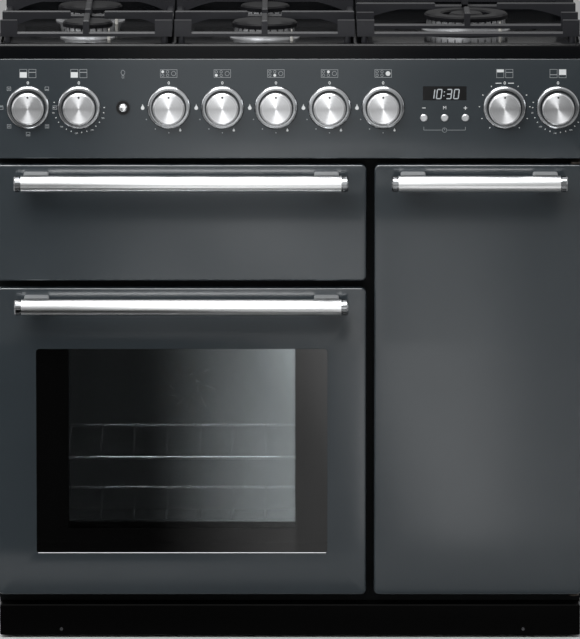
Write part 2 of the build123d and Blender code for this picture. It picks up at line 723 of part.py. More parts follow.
def support_frame(x, d):
    """The rectangle of bars with its feet and the raised lugs at its corners."""
    z = (BAR_BOTTOM, BAR_TOP)
    frame = block(x, d, z) - block(grown(x, -SUPPORT_BAR), grown(d, -SUPPORT_BAR), grown(z, OVERCUT))
    frame = chamfer(frame.faces().sort_by(Axis.Z)[-1].edges(), BAR_CHAMFER)
    for corner_x, inward in ((x[0], 1), (x[1], -1)):
        for bar_d in grown(d, -SUPPORT_BAR / 2):
            frame += lug(corner_x, inward, bar_d)
            foot_x = corner_x + inward * SUPPORT_BAR
            frame += rod_z(foot_x, bar_d, (SUPPORT_FLOOR, BAR_BOTTOM + FIT), FOOT_DIAMETER)
    return frame


def pair_support(x):
    """A support over a front and a rear burner: four fingers point at each."""
    d = (SUPPORT_FRONT, SUPPORT_BACK)
    centre = middle(x)
    support = support_frame(x, d)
    support += cross_bar(x, SUPPORT_MIDDLE)
    across = (x[1] - x[0]) / 2 - FINGER_CLEAR
    outer = FRONT_BURNER_D - d[0] - FINGER_CLEAR
    inner = SUPPORT_MIDDLE - FRONT_BURNER_D - FINGER_CLEAR
    for burner_d in (FRONT_BURNER_D, REAR_BURNER_D):
        support += finger(x[0], burner_d, 0, across)
        support += finger(x[1], burner_d, 180, across)
    support += finger(centre, d[0], 90, outer)
    support += finger(centre, SUPPORT_MIDDLE, -90, inner)
    support += finger(centre, SUPPORT_MIDDLE, 90, inner)
    return support + finger(centre, d[1], -90, outer)


def make_pan_support_left():
    return pair_support(LEFT_SUPPORT_X)


def make_pan_support_centre():
    return pair_support(CENTRE_SUPPORT_X)


def make_pan_support_right():
    """The support over the wok burner: two bars across it, and fingers from the bars and the sides."""
    x = RIGHT_SUPPORT_X
    support = support_frame(x, (SUPPORT_FRONT, SUPPORT_BACK))
    across = (x[1] - x[0]) / 2 - WOK_FINGER_CLEAR
    support += finger(x[0], SUPPORT_MIDDLE, 0, across)
    support += finger(x[1], SUPPORT_MIDDLE, 180, across)
    for side in (-1, 1):
        bar_d = SUPPORT_MIDDLE + side * WOK_BAR_SPREAD
        support += cross_bar(x, bar_d)
        support += lug(x[0], 1, bar_d)
        support += lug(x[1], -1, bar_d)
        finger_length = WOK_BAR_SPREAD + SUPPORT_BAR / 2 - WOK_FINGER_CLEAR
        support += finger(middle(x), bar_d + side * SUPPORT_BAR / 2, -90 * side, finger_length)
    return support


# Gas rail, valves, switches and what is on the control panel.

SHAFT_TIP = -(KNOB_REACH - SHAFT_END)


def make_gas_rail():
    """The feed pipe along the panel, bent to the back, where the inlet stub is."""
    start = (HOB_KNOB_X[0] - VALVE_WIDTH, behind(RAIL_DEPTH), KNOB_Z)
    corner = (INLET_X, behind(RAIL_DEPTH), KNOB_Z)
    end = (INLET_X, behind(BACK_PANEL + SHEET), KNOB_Z)
    path = FilletPolyline(start, corner, end, radius=RAIL_BEND)
    pipe = sweep(Plane(origin=start, z_dir=(1, 0, 0)) * Circle(RAIL_DIAMETER / 2), path=path)
    stub_d = (BACK_PANEL + SHEET, BACK_PANEL + SHEET + INLET_LENGTH)
    return pipe + rod_y(INLET_X, KNOB_Z, stub_d, INLET_DIAMETER)


def shaft(x, d_end):
    return rod_y(x, KNOB_Z, (SHAFT_TIP, d_end), SHAFT_DIAMETER)


def gas_valve(x):
    """A valve clamped round the rail, with its shaft out through the panel."""
    front = RAIL_DEPTH - VALVE_DEPTH
    back = RAIL_DEPTH + RAIL_DIAMETER
    body_z = grown((KNOB_Z, KNOB_Z), VALVE_HEIGHT / 2)
    body = slab(grown((x, x), VALVE_WIDTH / 2), (front, back), body_z, DOOR_EDGE)
    bore = rod_x(grown((x, x), VALVE_WIDTH), RAIL_DEPTH, KNOB_Z, RAIL_DIAMETER + 2 * FIT)
    return body - bore + shaft(x, front)


def make_gas_valves():
    return [gas_valve(x) for x in HOB_KNOB_X]


def make_burner_pipes():
    """A pipe from the back of each valve to the cup of its burner; one runs lower where two cross."""
    start = RAIL_DEPTH + RAIL_DIAMETER
    rise = start + PIPE_SETBACK
    cup = WELL_FLOOR - BURNER_CUP_DROP
    fed = [BURNERS[1], BURNERS[0], BURNERS[2], BURNERS[3], BURNERS[4]]
    pipes = []
    for knob_x, (x, d, cap) in zip(HOB_KNOB_X, fed):
        level = cup - (LOW_PIPE_DROP if knob_x == HOB_KNOB_X[0] else PIPE_DROP)
        points = [
            (knob_x, behind(start), KNOB_Z),
            (knob_x, behind(rise), KNOB_Z),
            (knob_x, behind(rise), level),
            (x, behind(d), level),
            (x, behind(d), cup),
        ]
        path = FilletPolyline(*points, radius=PIPE_BEND)
        pipes.append(sweep(Plane(origin=points[0], z_dir=(0, 1, 0)) * Circle(PIPE / 2), path=path))
    return pipes


def rotary_switch(x):
    size = SWITCH_SIZE / 2
    body = slab(grown((x, x), size), (SHEET, SWITCH_DEPTH), grown((KNOB_Z, KNOB_Z), size), DOOR_EDGE)
    return body + shaft(x, SWITCH_DEPTH / 2)


def light_switch():
    """A push switch: a ring on the panel's face and a barrel behind it, closed at its end."""
    end = LIGHT_DEPTH + LIGHT_TRAVEL + FIT
    bore = LIGHT_BUTTON / 2 + FIT
    outline = [
        (bore, -BUTTON_REACH),
        (LIGHT_RING / 2, -BUTTON_REACH),
        (LIGHT_RING / 2, 0),
        (LIGHT_HOUSING / 2, 0),
        (LIGHT_HOUSING / 2, end + SHEET),
        (0, end + SHEET),
        (0, end),
        (bore, end),
    ]
    return turned_y(LIGHT_X, KNOB_Z, outline)


def make_panel_switches():
    return [rotary_switch(x) for x in OVEN_KNOB_X + RIGHT_KNOB_X] + [light_switch()]


def make_clock_module():
    """The timer's box: a lens in the panel's window, four pegs on the panel's back."""
    front = SHEET + FIT + BUTTON_FLANGE + CLOCK_TRAVEL + FIT
    x = grown((CLOCK_X, CLOCK_X), CLOCK_BUTTON_PITCH + CLOCK_MARGIN)
    z = (CLOCK_BUTTON_Z - CLOCK_MARGIN, DISPLAY_Z + DISPLAY_HEIGHT / 2 + CLOCK_MARGIN)
    module = block(x, (front, CLOCK_DEPTH), z)
    lens_x = grown((CLOCK_X, CLOCK_X), DISPLAY_WIDTH / 2 - FIT)
    lens_z = grown((DISPLAY_Z, DISPLAY_Z), DISPLAY_HEIGHT / 2 - FIT)
    module += block(lens_x, (FIT, front), lens_z)
    peg = CLOCK_MARGIN / 4
    for peg_x in grown(x, -peg):
        for peg_z in grown(z, -peg):
            module += rod_y(peg_x, peg_z, (SHEET, front), peg)
    return module


def make_knob_bezels():
    """Spun rings on the panel round the knobs, domed from their outer edge up to the bore."""
    bore = BEZEL_BORE / 2
    rim = BEZEL_DIAMETER / 2
    crest = bore + BEZEL_LAND
    dome_middle = (crest + (rim - crest) * cos(radians(45)), -BEZEL_HEIGHT * sin(radians(45)))
    walls = Polyline((rim, 0), (bore, 0), (bore, -BEZEL_HEIGHT), (crest, -BEZEL_HEIGHT))
    dome = ThreePointArc((crest, -BEZEL_HEIGHT), dome_middle, (rim, 0))
    ring = revolve(make_face(walls + dome), Axis.Y)
    return [Pos(x, FRONT_Y, KNOB_Z) * ring for x in OVEN_KNOB_X + HOB_KNOB_X + RIGHT_KNOB_X]


def knob(x):
    """A spun cup on a hub that takes the shaft, with a dimple that marks its top."""
    radius = KNOB_DIAMETER / 2
    floor = -KNOB_LIFT
    bore = SHAFT_DIAMETER / 2 + FIT
    outline = [
        (0, -KNOB_REACH),
        (radius - KNOB_WALL, -KNOB_REACH),
        (radius, KNOB_WALL - KNOB_REACH),
        (radius, floor),
        (radius - KNOB_WALL, floor),
        (radius - KNOB_WALL, 2 * KNOB_WALL - KNOB_REACH),
        (KNOB_HUB / 2, 2 * KNOB_WALL - KNOB_REACH),
        (KNOB_HUB / 2, floor),
        (bore, floor),
        (bore, SHAFT_TIP - FIT),
        (0, SHAFT_TIP - FIT),
    ]
    dimple_z = KNOB_Z + radius - 2 * KNOB_WALL - KNOB_DIMPLE / 2
    dimple = rod_y(x, dimple_z, (-KNOB_REACH - OVERCUT, KNOB_WALL / 3 - KNOB_REACH), KNOB_DIMPLE)
    return turned_y(x, KNOB_Z, outline) - dimple


def make_light_button():
    radius = LIGHT_BUTTON / 2
    reach = LIGHT_TRAVEL + 2 * BUTTON_REACH
    outline = [
        (0, -reach),
        (radius - BUTTON_ROUND, -reach),
        (radius, BUTTON_ROUND - reach),
        (radius, LIGHT_DEPTH),
        (0, LIGHT_DEPTH),
    ]
    return turned_y(LIGHT_X, KNOB_Z, outline)


def clock_button(x):
    """A push button held behind the panel by its flange."""
    radius = CLOCK_BUTTON / 2
    back = SHEET + FIT + BUTTON_FLANGE
    outline = [
        (0, -BUTTON_REACH),
        (radius - BUTTON_ROUND, -BUTTON_REACH),
        (radius, BUTTON_ROUND - BUTTON_REACH),
        (radius, SHEET + FIT),
        (radius + BUTTON_FLANGE, SHEET + FIT),
        (radius + BUTTON_FLANGE, back),
        (0, back),
    ]
    return turned_y(x, CLOCK_BUTTON_Z, outline)


# Ovens and grill.

FAN_WALL = CAVITY_D[1]
COVER_D = (FAN_WALL - FAN_SPACE, FAN_WALL - FAN_SPACE + SHEET)


def fan_lining(x, z):
    """A lining whose back wall has a hole for the fan's shaft."""
    hole = rod_y(middle(x), middle(z), (FAN_WALL - SHEET, FAN_WALL + 2 * SHEET), MOTOR_HOLE)
    return liner_box(x, CAVITY_D, z) - hole


def make_oven_liner():
    return fan_lining(OVEN_X, OVEN_Z)


def make_tall_oven_liner():
    return fan_lining(TALL_X, TALL_Z)


RUNNER_Z = (GRILL_Z[0] + RUNNER_RISE, GRILL_Z[0] + RUNNER_RISE + RUNNER_HEIGHT)
ELEMENT_X = [middle(GRILL_X) + ELEMENT_PITCH * (i - 2.5) for i in range(6)]
ELEMENT_Z = GRILL_Z[1] - ELEMENT_DROP


def make_grill_liner():
    """The grill's lining, with a runner along each side and holes for the element's tails."""
    lining = liner_box(GRILL_X, GRILL_D, GRILL_Z)
    lining += block((GRILL_X[0] - SHEET, GRILL_X[0] + RUNNER), GRILL_D, RUNNER_Z)
    lining += block((GRILL_X[1] - RUNNER, GRILL_X[1] + SHEET), GRILL_D, RUNNER_Z)
    for x in (ELEMENT_X[0], ELEMENT_X[-1]):
        lining -= rod_y(x, ELEMENT_Z, (GRILL_D[1] - SHEET, GRILL_D[1] + 2 * SHEET), ELEMENT + 2 * FIT)
    return lining


def make_grill_element():
    """A sheathed heating rod in a flat zigzag under the roof, with both tails through the back wall."""
    front = behind(GRILL_D[0] + ELEMENT_FRONT)
    rear = behind(GRILL_D[1] - ELEMENT_FRONT)
    tail = behind(GRILL_D[1] + ELEMENT_TAIL)
    points = [(ELEMENT_X[0], tail, ELEMENT_Z)]
    for i in range(5):
        turn = front if i % 2 == 0 else rear
        points.append((ELEMENT_X[i], turn, ELEMENT_Z))
        points.append((ELEMENT_X[i + 1], turn, ELEMENT_Z))
    points.append((ELEMENT_X[5], tail, ELEMENT_Z))
    path = FilletPolyline(*points, radius=ELEMENT_BEND)
    return sweep(Plane(origin=points[0], z_dir=(0, -1, 0)) * Circle(ELEMENT / 2), path=path)


def rack_heights(z, levels):
    """Heights of a rack's runners, from the lowest up."""
    pitch = (z[1] - z[0]) / levels
    return [z[0] + RACK_FIRST + pitch * i for i in range(levels)]


OVEN_RACK_Z = rack_heights(OVEN_Z, OVEN_RACK_LEVELS)
TALL_RACK_Z = rack_heights(TALL_Z, TALL_RACK_LEVELS)
RACK_D = (CAVITY_D[0] + RACK_END, COVER_D[0] - RACK_END)


def side_rack(wall, inward, heights):
    """A wire ladder that hangs by four short pegs on a side wall."""
    x = wall + inward * RACK_STANDOFF
    ends = (heights[0] - WIRE, heights[-1] + WIRE)
    rack = rod_z(x, RACK_D[0], ends, WIRE) + rod_z(x, RACK_D[1], ends, WIRE)
    for height in heights:
        rack += rod_y(x, height, RACK_D, WIRE)
    for peg_d in RACK_D:
        for peg_z in (heights[0], heights[-1]):
            rack += rod_x(sorted((wall, x)), peg_d, peg_z, WIRE)
    return rack


def make_side_racks():
    racks = []
    for x, heights in ((OVEN_X, OVEN_RACK_Z), (TALL_X, TALL_RACK_Z)):
        racks.append(side_rack(x[0], 1, heights))
        racks.append(side_rack(x[1], -1, heights))
    return racks


def shelf(x, height):
    """A wire shelf that lies on a pair of rack runners: a bent loop with bars welded across its top."""
    z = height + WIRE + FIT
    sides = grown(x, -RACK_STANDOFF)
    d = grown(RACK_D, -2 * WIRE)
    loop = RectangleRounded(sides[1] - sides[0], d[1] - d[0], SHELF_CORNER).wire()
    loop = Pos(middle(x), behind(middle(d)), z) * loop
    tray = sweep(Plane(origin=loop @ 0, z_dir=loop % 0) * Circle(WIRE / 2), path=loop)
    count = int((sides[1] - sides[0]) // SHELF_PITCH)
    pitch = (sides[1] - sides[0]) / count
    bars = [rod_y(sides[0] + pitch * i, z + SHELF_WIRE / 2, d, SHELF_WIRE) for i in range(1, count)]
    return tray + bars


def make_oven_shelves():
    oven = [shelf(OVEN_X, OVEN_RACK_Z[level]) for level in (0, 1)]
    return oven + [shelf(TALL_X, TALL_RACK_Z[level]) for level in (1, 3)]


def fan_cover(x, z):
    """A plate in front of the fan, with a ring of slots, on four legs from the back wall."""
    size = FAN_DIAMETER / 2 + COVER_MARGIN
    plate_x = grown((middle(x), middle(x)), size)
    plate_z = grown((middle(z), middle(z)), size)
    cover = slab(plate_x, COVER_D, plate_z, DOOR_CORNER)
    slot = extrude(SlotOverall(FAN_DIAMETER / 4, FLANGE / 2), 4 * SHEET, both=True)
    for i in range(COVER_SLOTS):
        turn = Rot(0, 360 * i / COVER_SLOTS, 0) * Pos(FAN_DIAMETER / 4, 0, 0) * Rot(90, 0, 0)
        cover -= Pos(middle(x), behind(COVER_D[0]), middle(z)) * turn * slot
    for leg_x in grown(plate_x, -DOOR_CORNER):
        for leg_z in grown(plate_z, -DOOR_CORNER):
            cover += rod_y(leg_x, leg_z, (COVER_D[1], FAN_WALL), WIRE)
    return cover


def make_fan_covers():
    return [fan_cover(OVEN_X, OVEN_Z), fan_cover(TALL_X, TALL_Z)]


MOTOR_SHAFT_D = (FAN_WALL - FAN_GAP - BLADE_HEIGHT, FAN_WALL + 2 * FAN_GAP)


def fan(x, z):
    """A pressed wheel: a disc, a hub on the motor's shaft and upright blades."""
    disc_d = (FAN_WALL - FAN_GAP - SHEET, FAN_WALL - FAN_GAP)
    blade_d = (disc_d[1] - BLADE_HEIGHT, disc_d[1])
    wheel = rod_y(middle(x), middle(z), disc_d, FAN_DIAMETER) + rod_y(middle(x), middle(z), blade_d, FAN_HUB)
    blade = Box(FAN_DIAMETER / 2 - FAN_HUB, BLADE_HEIGHT, SHEET)
    for i in range(FAN_BLADES):
        place = Pos(FAN_DIAMETER / 4 + FAN_HUB / 4, 0, 0) * Rot(0, FAN_SWEEP, 0)
        turn = Rot(0, 360 * i / FAN_BLADES, 0) * place
        wheel += Pos(middle(x), behind(middle(blade_d)), middle(z)) * turn * blade
    return wheel - rod_y(middle(x), middle(z), grown(blade_d, OVERCUT), SHAFT_DIAMETER + 2 * FIT)


def fan_motor(x, z):
    body = rod_y(middle(x), middle(z), (FAN_WALL + SHEET, FAN_WALL + MOTOR_LENGTH), MOTOR_DIAMETER)
    return body + rod_y(middle(x), middle(z), MOTOR_SHAFT_D, SHAFT_DIAMETER)


def make_fan_motors():
    return [fan_motor(OVEN_X, OVEN_Z), fan_motor(TALL_X, TALL_Z)]


def make_door_seals():
    """Flat gaskets on the front frame, round the two ovens."""
    d = (FRAME_FRONT - SEAL_THICKNESS, FRAME_FRONT)
    seals = []
    for x, z in ((OVEN_X, OVEN_Z), (TALL_X, TALL_Z)):
        loop = slab(grown(x, SEAL_OUTER), d, grown(z, SEAL_OUTER), SEAL_OUTER)
        seals.append(loop - slab(grown(x, SEAL_INNER), grown(d, OVERCUT), grown(z, SEAL_INNER), SEAL_INNER))
    return seals


# Doors, their handles and hinges.

OVEN_HINGE_Z = DOOR_BOTTOM + OVEN_HINGE_RISE
OVEN_HINGE_X = [LEFT_DOOR[0] + HINGE_INSET, LEFT_DOOR[1] - HINGE_INSET]
TALL_HINGE_X = RIGHT - TALL_HINGE_INSET


def handle(x, door_top):
    """A round bar with ringed end caps on two flat posts."""
    z = door_top - BAR_DROP
    radius = BAR_DIAMETER / 2
    bar = rod_x(grown(x, -BAR_CAP), -BAR_STANDOFF, z, BAR_DIAMETER)
    neck = radius - BAR_CAP_GROOVE
    cap = [
        (0, 0),
        (0, radius - BAR_CAP_GROOVE),
        (BAR_CAP_GROOVE, radius),
        (BAR_CAP - BAR_CAP_GROOVE, radius),
        (BAR_CAP - BAR_CAP_GROOVE, neck),
        (BAR_CAP, neck),
        (BAR_CAP, 0),
    ]
    left_cap = turned_x(x[0], -BAR_STANDOFF, z, cap)
    right_cap = turned_x(x[1], -BAR_STANDOFF, z, [(-along, r) for along, r in cap])
    posts = []
    for post_x in grown(x, -POST_INSET - POST_WIDTH / 2):
        post_z = (z + radius - POST_HEIGHT, z + radius)
        post = slab(grown((post_x, post_x), POST_WIDTH / 2), (-BAR_STANDOFF, 0), post_z, DOOR_EDGE)
        bar_room = rod_x(grown((post_x, post_x), POST_WIDTH), -BAR_STANDOFF, z, BAR_DIAMETER + FIT)
        posts.append(post - bar_room)
    return [bar, left_cap, right_cap] + posts


def make_grill_handle():
    return handle(grown(LEFT_DOOR, -LEFT_BAR_MARGIN), DOOR_TOP)


def make_oven_handle():
    return handle(grown(LEFT_DOOR, -LEFT_BAR_MARGIN), OVEN_DOOR_TOP)


def make_tall_handle():
    return handle(grown(RIGHT_DOOR, -RIGHT_BAR_MARGIN), DOOR_TOP)


def door_pressing(x, z):
    return pressing(x, (0, DOOR_DEPTH), z, DOOR_CORNER, DOOR_EDGE)


def inner_pan(x, z):
    """A door's inside: a flange on the rim of the outer pressing and a raised pan."""
    flange = slab(x, (DOOR_DEPTH, DOOR_DEPTH + SHEET), z, DOOR_CORNER)
    pan_x = grown(x, -FLANGE)
    pan_z = (z[0], z[1] - FLANGE)
    pan = block(pan_x, (DOOR_DEPTH, DOOR_BACK), pan_z)
    pan = fillet(pan.faces().sort_by(Axis.Y)[-1].edges(), DOOR_EDGE)
    hollow_z = (pan_z[0] + SHEET, pan_z[1] - SHEET)
    return flange + pan - block(grown(pan_x, -SHEET), (DOOR_DEPTH - SHEET, DOOR_BACK - SHEET), hollow_z)


GRILL_LINER_Z = grown(GRILL_DOOR_Z, -LINER_INSET)
OVEN_LINER_Z = (OVEN_HINGE_Z + LINER_HINGE_ROOM, OVEN_DOOR_TOP - LINER_INSET)
TALL_LINER_X = (RIGHT_DOOR[0] + LINER_INSET, TALL_HINGE_X - LINER_HINGE_ROOM)
INNER_WINDOW_X = grown(WINDOW_X, -INNER_WINDOW_SIDE)
INNER_WINDOW_Z = (WINDOW_Z[0] + INNER_WINDOW_BOTTOM, WINDOW_Z[1])


def make_grill_door():
    return door_pressing(LEFT_DOOR, GRILL_DOOR_Z)


RAIL_Z = (RUNNER_Z[1] + FIT, RUNNER_Z[1] + FIT + RAIL_BAR_HEIGHT)
CARRIAGE_BACK = GRILL_D[1] - ELEMENT_FRONT
CARRIAGE_X = grown(GRILL_X, -RAIL_SIDE)


def make_grill_carriage():
    """The grill front's inner pan with the two rails and the cross bar that carry the grill pan."""
    carriage = inner_pan(grown(LEFT_DOOR, -LINER_INSET), GRILL_LINER_Z)
    rail_d = (DOOR_BACK - SHEET, CARRIAGE_BACK)
    carriage += block((CARRIAGE_X[0], CARRIAGE_X[0] + RAIL_BAR), rail_d, RAIL_Z)
    carriage += block((CARRIAGE_X[1] - RAIL_BAR, CARRIAGE_X[1]), rail_d, RAIL_Z)
    return carriage + block(CARRIAGE_X, (CARRIAGE_BACK - RAIL_BAR, CARRIAGE_BACK), RAIL_Z)


def make_grill_pan():
    """A pressed pan that hangs by its rim between the rails."""
    rim_z = (RAIL_Z[1], RAIL_Z[1] + SHEET)
    body_x = grown(CARRIAGE_X, -RAIL_BAR - FIT)
    body_d = (PAN_FRONT, CARRIAGE_BACK - RAIL_BAR - FIT)
    body = block(body_x, body_d, (rim_z[1] - PAN_DEPTH, rim_z[1]))
    body = fillet(body.edges().filter_by(Axis.Z), PAN_CORNER)
    rim = block(grown(body_x, PAN_RIM), body_d, rim_z)
    rim = fillet(rim.edges().filter_by(Axis.Z), PAN_CORNER)
    hollow_z = (rim_z[1] - PAN_DEPTH + SHEET, rim_z[1] + SHEET)
    hollow = block(grown(body_x, -SHEET), grown(body_d, -SHEET), hollow_z)
    hollow = fillet(hollow.edges().filter_by(Axis.Z), PAN_CORNER - SHEET)
    return body + rim - hollow


def hinge_ear(x, width):
    """A plate from the inside of the oven door's face to its hinge pin."""
    plate = Rectangle(HINGE_DEPTH - SHEET, 2 * HINGE_EAR_RADIUS, align=(Align.MAX, Align.CENTER))
    plate += Circle(HINGE_EAR_RADIUS)
    plate -= Circle(PIN_DIAMETER / 2 + FIT)
    return Pos(x, behind(HINGE_DEPTH), OVEN_HINGE_Z) * extrude(Plane.YZ * plate, width)


def make_oven_door_panel():
    """The oven door's outer pressing, with its window, hinge ears and slots for the hinge plates."""
    panel = door_pressing(LEFT_DOOR, OVEN_DOOR_Z)
    panel -= slab(WINDOW_X, (-SHEET, 2 * SHEET), WINDOW_Z, WINDOW_CORNER)
    panel = fillet(panel.faces().sort_by(Axis.Y)[0].inner_wires()[0].edges(), WINDOW_EDGE)
    reach = HINGE_PLATE / 2 + EAR_GAP
    for x in OVEN_HINGE_X:
        panel += hinge_ear(x + reach, HINGE_EAR)
        panel += hinge_ear(x - reach - HINGE_EAR, HINGE_EAR)
        slot_d = (HINGE_DEPTH - HINGE_PLATE_HEIGHT / 2 - EAR_GAP, DOOR_DEPTH + SHEET)
        panel -= block(grown((x, x), reach), slot_d, (DOOR_BOTTOM - SHEET, DOOR_BOTTOM + 2 * SHEET))
    return panel


def make_oven_door_glass():
    """The outer pane behind the window and the inner pane in the door's inside."""
    outer = block(grown(WINDOW_X, GLASS_OVERLAP), (SHEET, SHEET + GLASS), grown(WINDOW_Z, GLASS_OVERLAP))
    inner_d = (DOOR_BACK - SHEET - GLASS, DOOR_BACK - SHEET)
    return [outer, block(grown(INNER_WINDOW_X, GLASS_OVERLAP), inner_d, grown(INNER_WINDOW_Z, GLASS_OVERLAP))]


def make_oven_door_liner():
    liner = inner_pan(grown(LEFT_DOOR, -LINER_INSET), OVEN_LINER_Z)
    return liner - slab(INNER_WINDOW_X, (DOOR_DEPTH, DOOR_BACK + SHEET), INNER_WINDOW_Z, WINDOW_CORNER)


def make_oven_hinge_brackets():
    """Plates on the front frame, each with the pin that the oven door's ears turn on."""
    brackets = []
    for x in OVEN_HINGE_X:
        reach = FRAME_FRONT - HINGE_DEPTH
        plate = Rectangle(reach, HINGE_PLATE_HEIGHT, align=(Align.MIN, Align.CENTER))
        plate += Circle(HINGE_PLATE_HEIGHT / 2)
        half = HINGE_PLATE / 2
        bracket = Pos(x - half, behind(HINGE_DEPTH), OVEN_HINGE_Z) * extrude(Plane.YZ * plate, HINGE_PLATE)
        pin_x = grown((x, x), half + 2 * EAR_GAP + HINGE_EAR)
        brackets.append(bracket + rod_x(pin_x, HINGE_DEPTH, OVEN_HINGE_Z, PIN_DIAMETER))
    return brackets


def make_tall_door_panel():
    """The tall door's outer pressing, with a bore for a hinge pin in its top and bottom."""
    panel = door_pressing(RIGHT_DOOR, TALL_DOOR_Z)
    for z in TALL_DOOR_Z:
        panel -= rod_z(TALL_HINGE_X, HINGE_DEPTH, grown((z, z), 2 * SHEET), PIN_DIAMETER + 2 * FIT)
    return panel


def make_tall_door_liner():
    return inner_pan(TALL_LINER_X, grown(TALL_DOOR_Z, -LINER_INSET))


def make_tall_oven_hinge_brackets():
    """Plates on the front frame, above and below the tall door, with the pins that it turns on."""
    radius = PIN_DIAMETER
    brackets = []
    for seat, away in ((DOOR_TOP + FIT, 1), (DOOR_BOTTOM - FIT, -1)):
        plate_z = sorted((seat, seat + away * TALL_HINGE_PLATE))
        plate = block(grown((TALL_HINGE_X, TALL_HINGE_X), radius), (HINGE_DEPTH, FRAME_FRONT), plate_z)
        plate += rod_z(TALL_HINGE_X, HINGE_DEPTH, plate_z, 2 * radius)
        pin_z = sorted((seat + away * TALL_HINGE_PLATE / 2, seat - away * TALL_PIN_LENGTH))
        brackets.append(plate + rod_z(TALL_HINGE_X, HINGE_DEPTH, pin_z, PIN_DIAMETER))
    return brackets


# Every piece, by name.

nodes = {
    "base_tray": make_base_tray(),
    "side_panel_right": make_side_panel(),
    "side_panel_left": mirror(make_side_panel(), Plane.YZ),
    "back_panel": make_back_panel(),
    "front_frame": make_front_frame(),
    "control_panel": make_control_panel(),
    "plinth": make_plinth(),
    "front_feet": make_front_feet(),
    "rear_rollers": make_rear_rollers(),
    "hob_tray": make_hob_tray(),
    "rear_vent": make_rear_vent(),
    "burner_bases": make_burner_bases(),
    "burner_caps": make_burner_caps(),
    "spark_electrodes": make_spark_electrodes(),
    "pan_support_left": make_pan_support_left(),
    "pan_support_centre": make_pan_support_centre(),
    "pan_support_right": make_pan_support_right(),
    "gas_rail": make_gas_rail(),
    "gas_valves": make_gas_valves(),
    "burner_pipes": make_burner_pipes(),
    "panel_switches": make_panel_switches(),
    "clock_module": make_clock_module(),
    "knob_bezels": make_knob_bezels(),
    "light_button": make_light_button(),
    "grill_liner": make_grill_liner(),
    "grill_element": make_grill_element(),
    "oven_liner": make_oven_liner(),
    "tall_oven_liner": make_tall_oven_liner(),
    "side_racks": make_side_racks(),
    "oven_shelves": make_oven_shelves(),
    "fan_covers": make_fan_covers(),
    "fan_motors": make_fan_motors(),
    "oven_fan": fan(OVEN_X, OVEN_Z),
    "tall_oven_fan": fan(TALL_X, TALL_Z),
    "door_seals": make_door_seals(),
    "grill_door": make_grill_door(),
    "grill_carriage": make_grill_carriage(),
    "grill_pan": make_grill_pan(),
    "grill_handle": make_grill_handle(),
    "oven_door_panel": make_oven_door_panel(),
    "oven_door_glass": make_oven_door_glass(),
    "oven_door_liner": make_oven_door_liner(),
    "oven_handle": make_oven_handle(),
    "oven_hinge_brackets": make_oven_hinge_brackets(),
    "tall_door_panel": make_tall_door_panel(),
    "tall_door_liner": make_tall_door_liner(),
    "tall_handle": make_tall_handle(),
    "tall_oven_hinge_brackets": make_tall_oven_hinge_brackets(),
}

KNOB_NAMES = ["oven_function_knob", "oven_temperature_knob"]
KNOB_NAMES += ["rear_left_knob", "front_left_knob", "front_centre_knob", "rear_centre_knob", "wok_knob"]
KNOB_NAMES += ["grill_knob", "tall_oven_knob"]
for name, x in zip(KNOB_NAMES, OVEN_KNOB_X + HOB_KNOB_X + RIGHT_KNOB_X):
    nodes[name] = knob(x)

for name, x in zip(["minus_button", "mode_button", "plus_button"], CLOCK_BUTTON_X):
    nodes[name] = clock_button(x)

os.makedirs("parts", exist_ok=True)
for name, piece in nodes.items():
    solids = piece if isinstance(piece, list) else [piece]
    export_step(Compound(children=solids), f"parts/{name}.step")
print(len(nodes), "pieces written")
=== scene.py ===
# %% [markdown]
# # Dressing a range cooker
# The cooker arrives as a frame of solids with the right sizes and joints. This lesson gives those solids
# their finishes, adds the printed marks, the small screws and the things that are too fine for the solids,
# and lights the result for a picture taken from the front. Every length is in metres, +Z is up and the doors
# face -Y.

# %% Load the frame
import json
import math

import bpy
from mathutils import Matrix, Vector

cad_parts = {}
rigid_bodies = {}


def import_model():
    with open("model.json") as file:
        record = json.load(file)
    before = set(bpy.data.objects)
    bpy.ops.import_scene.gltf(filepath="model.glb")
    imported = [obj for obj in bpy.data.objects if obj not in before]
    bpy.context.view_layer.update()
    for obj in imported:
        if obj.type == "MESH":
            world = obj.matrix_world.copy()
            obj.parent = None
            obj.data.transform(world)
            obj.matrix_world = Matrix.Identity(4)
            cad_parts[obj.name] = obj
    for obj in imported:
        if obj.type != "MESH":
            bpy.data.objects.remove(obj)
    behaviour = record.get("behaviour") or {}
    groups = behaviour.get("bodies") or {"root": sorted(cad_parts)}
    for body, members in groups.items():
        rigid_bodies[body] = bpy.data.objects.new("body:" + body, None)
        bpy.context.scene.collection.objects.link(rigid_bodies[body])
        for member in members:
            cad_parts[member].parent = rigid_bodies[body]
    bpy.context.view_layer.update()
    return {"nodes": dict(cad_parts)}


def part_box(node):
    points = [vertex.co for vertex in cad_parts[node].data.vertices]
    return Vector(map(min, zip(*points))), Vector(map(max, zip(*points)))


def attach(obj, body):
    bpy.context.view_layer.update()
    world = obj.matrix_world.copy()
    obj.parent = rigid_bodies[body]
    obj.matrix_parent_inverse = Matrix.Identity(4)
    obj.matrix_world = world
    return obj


for leftover in list(bpy.data.objects):
    bpy.data.objects.remove(leftover)
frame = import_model()
nodes = frame["nodes"]
MM = 0.001
FRONT_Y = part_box("grill_door")[0].y
print("frame with", len(nodes), "solids, door faces at y", round(FRONT_Y, 4))

# %% [markdown]
# ## Camera
# The picture was taken almost straight from the front, with upright lines that stay upright. A long lens from
# fourteen metres away, tipped down by nine degrees, keeps those lines nearly upright without shifting the
# lens, and still shows the top of the hob. The aim is the middle of the picture on the plane of the doors.

